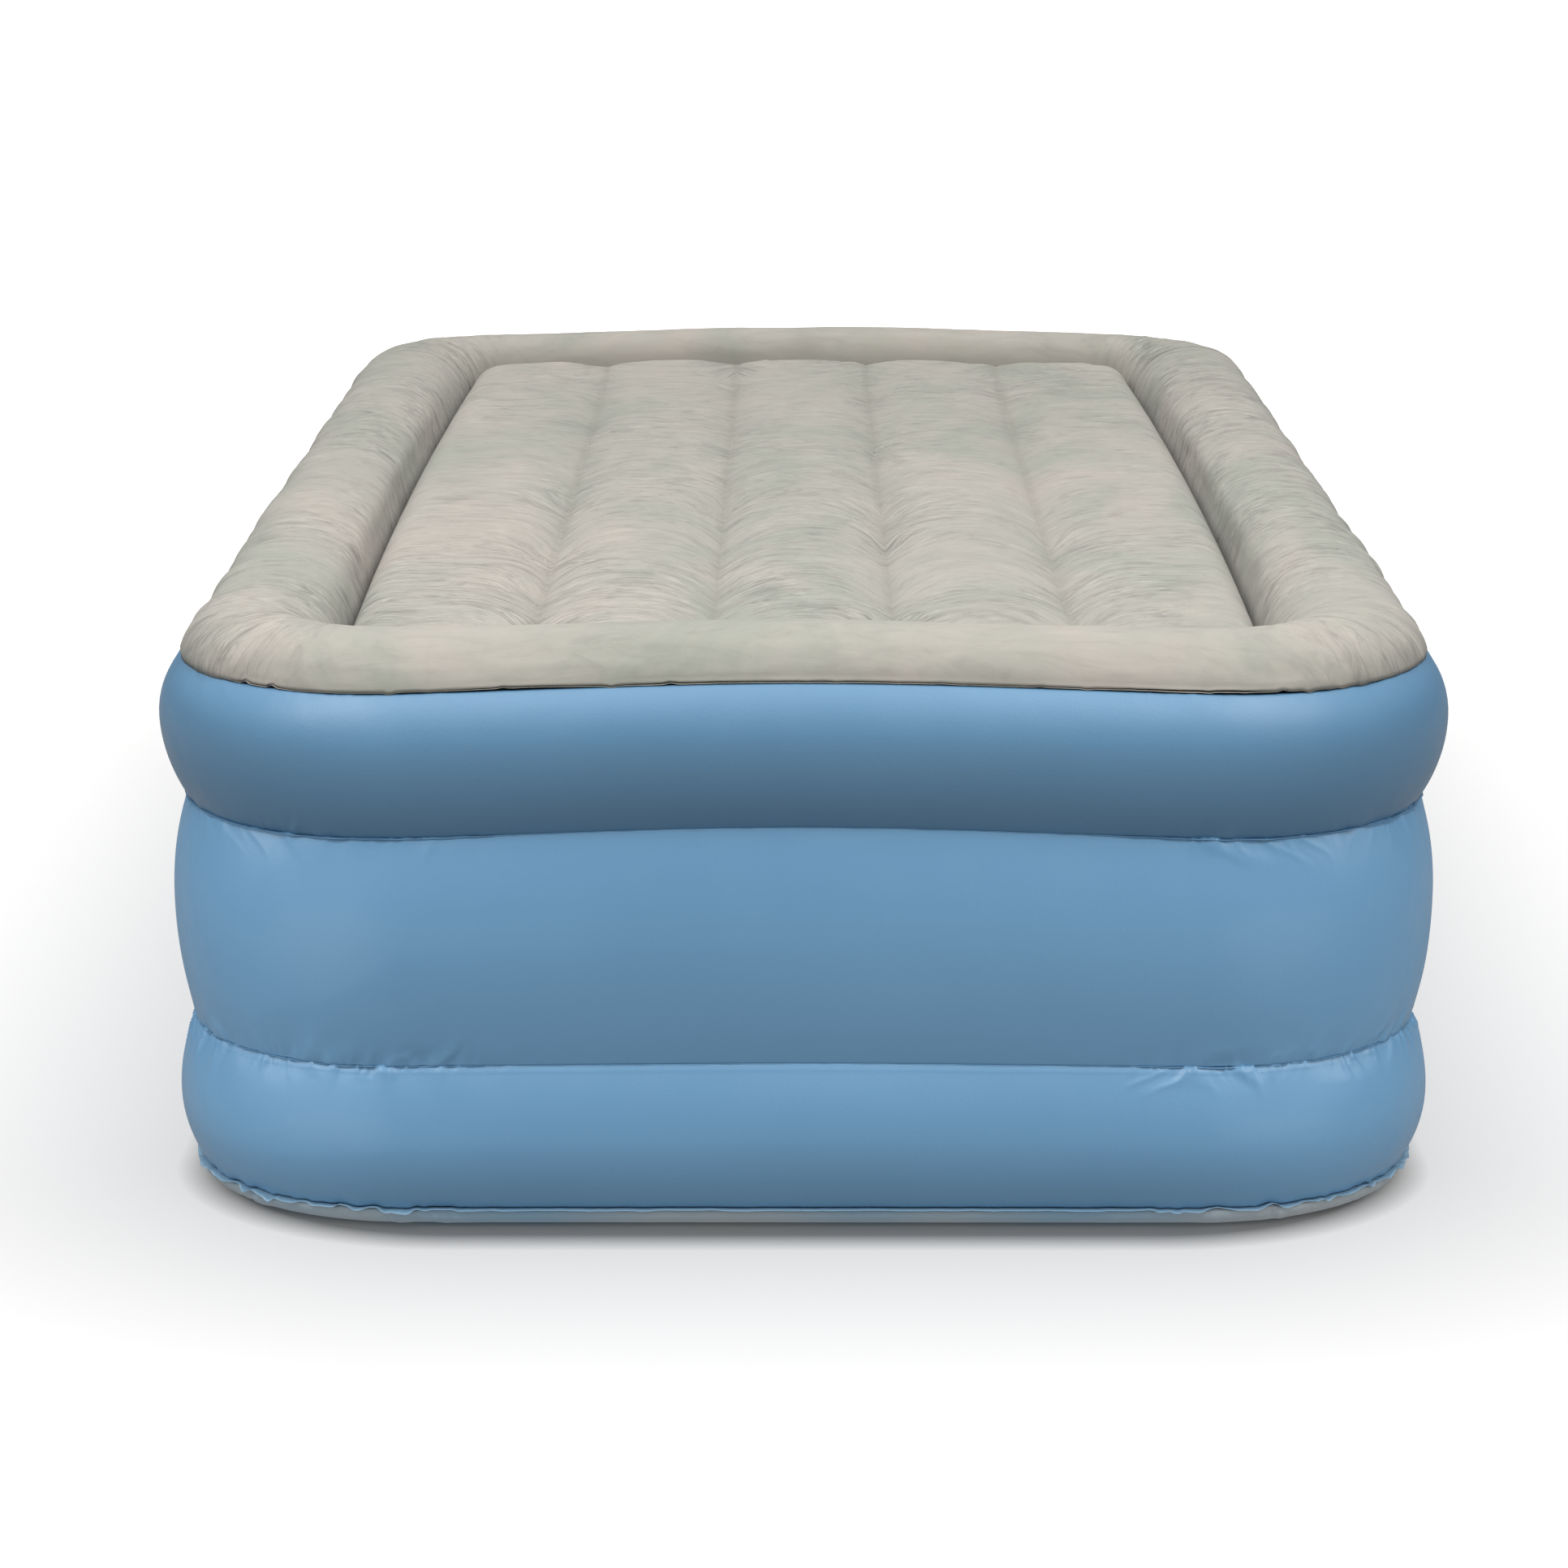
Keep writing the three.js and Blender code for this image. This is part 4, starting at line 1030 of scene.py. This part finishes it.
def carried_over():
    """Materials and eased edges for the CAD nodes that are shown as they are."""
    paints = {
        "inner_vinyl": INNER, "shell_plastic": SLATE, "black_plastic": BLACK, "pale_plastic": PALE,
        "soft_rubber": RUBBER, "steel": STEEL, "lead_insulation": RED, "blue_vinyl": BLUE,
    }
    slots = {row["node"]: row["material_slot"] for row in frame["record"]["subparts"]}
    for name, obj in NODES.items():
        if obj.hide_render:
            continue
        obj.data.materials.clear()
        obj.data.materials.append(paints[slots[name]])
        if max(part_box(name)[1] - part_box(name)[0]) < LARGEST_EASED:
            ease_edges(obj)
        for polygon in obj.data.polygons:
            polygon.use_smooth = False


# ---------------------------------------------------------------- stage, light and camera
def distance_from_core(paint, radius):
    """How far a floor point lies from a box inside the hem's outline, narrower at its sides.

    The hem itself is about one corner radius away, and a little more beside the bed.
    """
    at_side = 34 * MM  # the photograph's shadow is narrower beside the bed than before it
    half_x = HALF_WIDTH + HEM[0] - radius - at_side
    half_y = HALF_LENGTH + HEM[0] - radius
    vector = paint.vector_math("ABSOLUTE", paint.position())
    vector = paint.vector_math("SUBTRACT", vector, (half_x, half_y, 1))
    vector = paint.vector_math("MAXIMUM", vector, (0, 0, 0))
    return paint.vector_math("LENGTH", vector, output="Value")


def floor_paint():
    """A pale floor that glows, in three steps, towards the distance from the bed: painted light, which
    leaves a painted contact shadow round the hem where it does not glow.
    """
    paint = Paint("floor", 0.9)
    paint.set(paint.shader, "Specular IOR Level", 0.1)
    grey = paint.noise(paint.position(), 0.7, 2, 0.5)
    paint.colour(paint.ramp(grey, (0.3, (0.420, 0.409, 0.398)), (0.7, (0.430, 0.419, 0.408))))
    paint.set(paint.shader, "Emission Color", (1, 1, 1, 1))
    radius = CORNER + HEM[0]
    away = distance_from_core(paint, radius)
    # Painted light: the glow rises with the distance from the hem, and its absence close by paints the
    # contact shadow.
    glow = [
        paint.level(away, 0.0, amount, radius + start, radius + finish)
        for amount, start, finish in ((0.56, 0.018, 0.056), (0.20, 0.06, 0.32), (0.55, 0.32, 2.0))
    ]
    paint.set(paint.shader, "Emission Strength", paint.sum(*glow))
    return paint.material


def stage():
    """A lit sweep. It is kept out of the bed's light and reflections, which the dome gives."""
    side = 60.0
    corners = [(-side, -side), (side, -side), (side, side), (-side, side)]
    mesh = bpy.data.meshes.new("floor")
    mesh.from_pydata([(x, y, -0.4 * MM) for x, y in corners], [], [(0, 1, 2, 3)])
    floor = bpy.data.objects.new("floor", mesh)
    bpy.context.scene.collection.objects.link(floor)
    floor.data.materials.append(floor_paint())
    floor.visible_diffuse = False
    floor.visible_glossy = False
    return floor


def world_light():
    """A pale dome: bright overhead, dim at the horizon, and a floor's soft return below."""
    world = bpy.data.worlds.new("dome")
    bpy.context.scene.world = world
    world.use_nodes = True
    tree = world.node_tree
    background = tree.nodes["Background"]
    place = tree.nodes.new("ShaderNodeTexCoord")
    parts = tree.nodes.new("ShaderNodeSeparateXYZ")
    tree.links.new(place.outputs["Generated"], parts.inputs[0])
    level = tree.nodes.new("ShaderNodeMapRange")
    level.inputs["From Min"].default_value = -1.0
    tree.links.new(parts.outputs["Z"], level.inputs["Value"])
    ramp = tree.nodes.new("ShaderNodeValToRGB")
    tree.links.new(level.outputs["Result"], ramp.inputs["Fac"])
    stops = ((0.0, 0.42), (0.44, 0.38), (0.50, 0.08), (0.62, 0.15), (0.80, 0.62), (1.0, 0.95))
    elements = ramp.color_ramp.elements
    while len(elements) < len(stops):
        elements.new(0.5)
    for element, (height, value) in zip(elements, stops):
        element.position = height
        element.color = (value, value, value, 1)
    tree.links.new(ramp.outputs["Color"], background.inputs["Color"])
    background.inputs["Strength"].default_value = 0.95


def area_light(name, place, target, size, power):
    """A rectangular light at a place, turned to a target."""
    light = bpy.data.lights.new(name, "AREA")
    light.shape = "RECTANGLE"
    light.size, light.size_y = size
    light.energy = power
    obj = bpy.data.objects.new(name, light)
    obj.location = place
    obj.rotation_euler = (Vector(target) - Vector(place)).to_track_quat("-Z", "Y").to_euler()
    bpy.context.scene.collection.objects.link(obj)
    return obj


def light_only(light, objects, keep_off=False):
    """Limits a light to some objects, or keeps it off them, as flags do in a studio."""
    group = bpy.data.collections.new(light.name + "_flag")
    for obj in objects:
        group.objects.link(obj)
    light.light_linking.receiver_collection = group
    for link in group.collection_objects:
        link.light_linking.link_state = "EXCLUDE" if keep_off else "INCLUDE"


def lights(floor):
    """A box above, two before the bed, and four low lights for the tiers in the upper one's shade."""
    world_light()
    boxes = [area_light("top_box", (0.0, 0.0, 2.7), (0, 0, 0.3), (2.2, 3.0), 30)]
    for name, side, power in (("left_box", -1, 60), ("right_box", 1, 54)):
        place, target = (1.75 * side, -2.35, 3.0), (0.35 * side, -0.9, 0.35)
        boxes.append(area_light(name, place, target, (2.0, 2.0), power))
    for box in boxes:
        light_only(box, [floor], keep_off=True)
    shaded = [bpy.data.objects[name] for name in ("middle_tier", "lower_tier", "hem_lip")]
    for name, side in (("left_strip", -1), ("right_strip", 1)):
        place, target = (3.0 * side, -1.45, 1.35), (0.38 * side, -0.85, 0.24)
        light_only(area_light(name, place, target, (1.3, 0.9), 15), shaded)
    for name, side in (("left_card", -1), ("right_card", 1)):
        place, target = (0.9 * side, -HALF_LENGTH - 0.7, 0.02), (0.4 * side, -HALF_LENGTH, 0.04)
        card = area_light(name, place, target, (0.9, 0.3), 3.6)
        card.visible_camera = False
        card.visible_glossy = False
        light_only(card, [*shaded, bpy.data.objects["base"]])


def camera():
    """The photograph's view: from the foot end, slightly above."""
    lens = bpy.data.cameras.new("camera")
    lens.sensor_width = 36.0
    lens.lens = 107.85
    lens.clip_end = 200
    obj = bpy.data.objects.new("camera", lens)
    obj.location = (-0.008, -HALF_LENGTH - 3.353, 1.097)
    obj.rotation_euler = (math.pi / 2 - 0.220, 0, 0.002)
    bpy.context.scene.collection.objects.link(obj)
    bpy.context.scene.camera = obj
    bpy.context.scene.view_settings.view_transform = "Standard"


side_tiers()
lips()
base_sheet()
border_tube()
sleeping_surface()
inner_sheets()
valve_spring()
carried_over()
lights(stage())
camera()
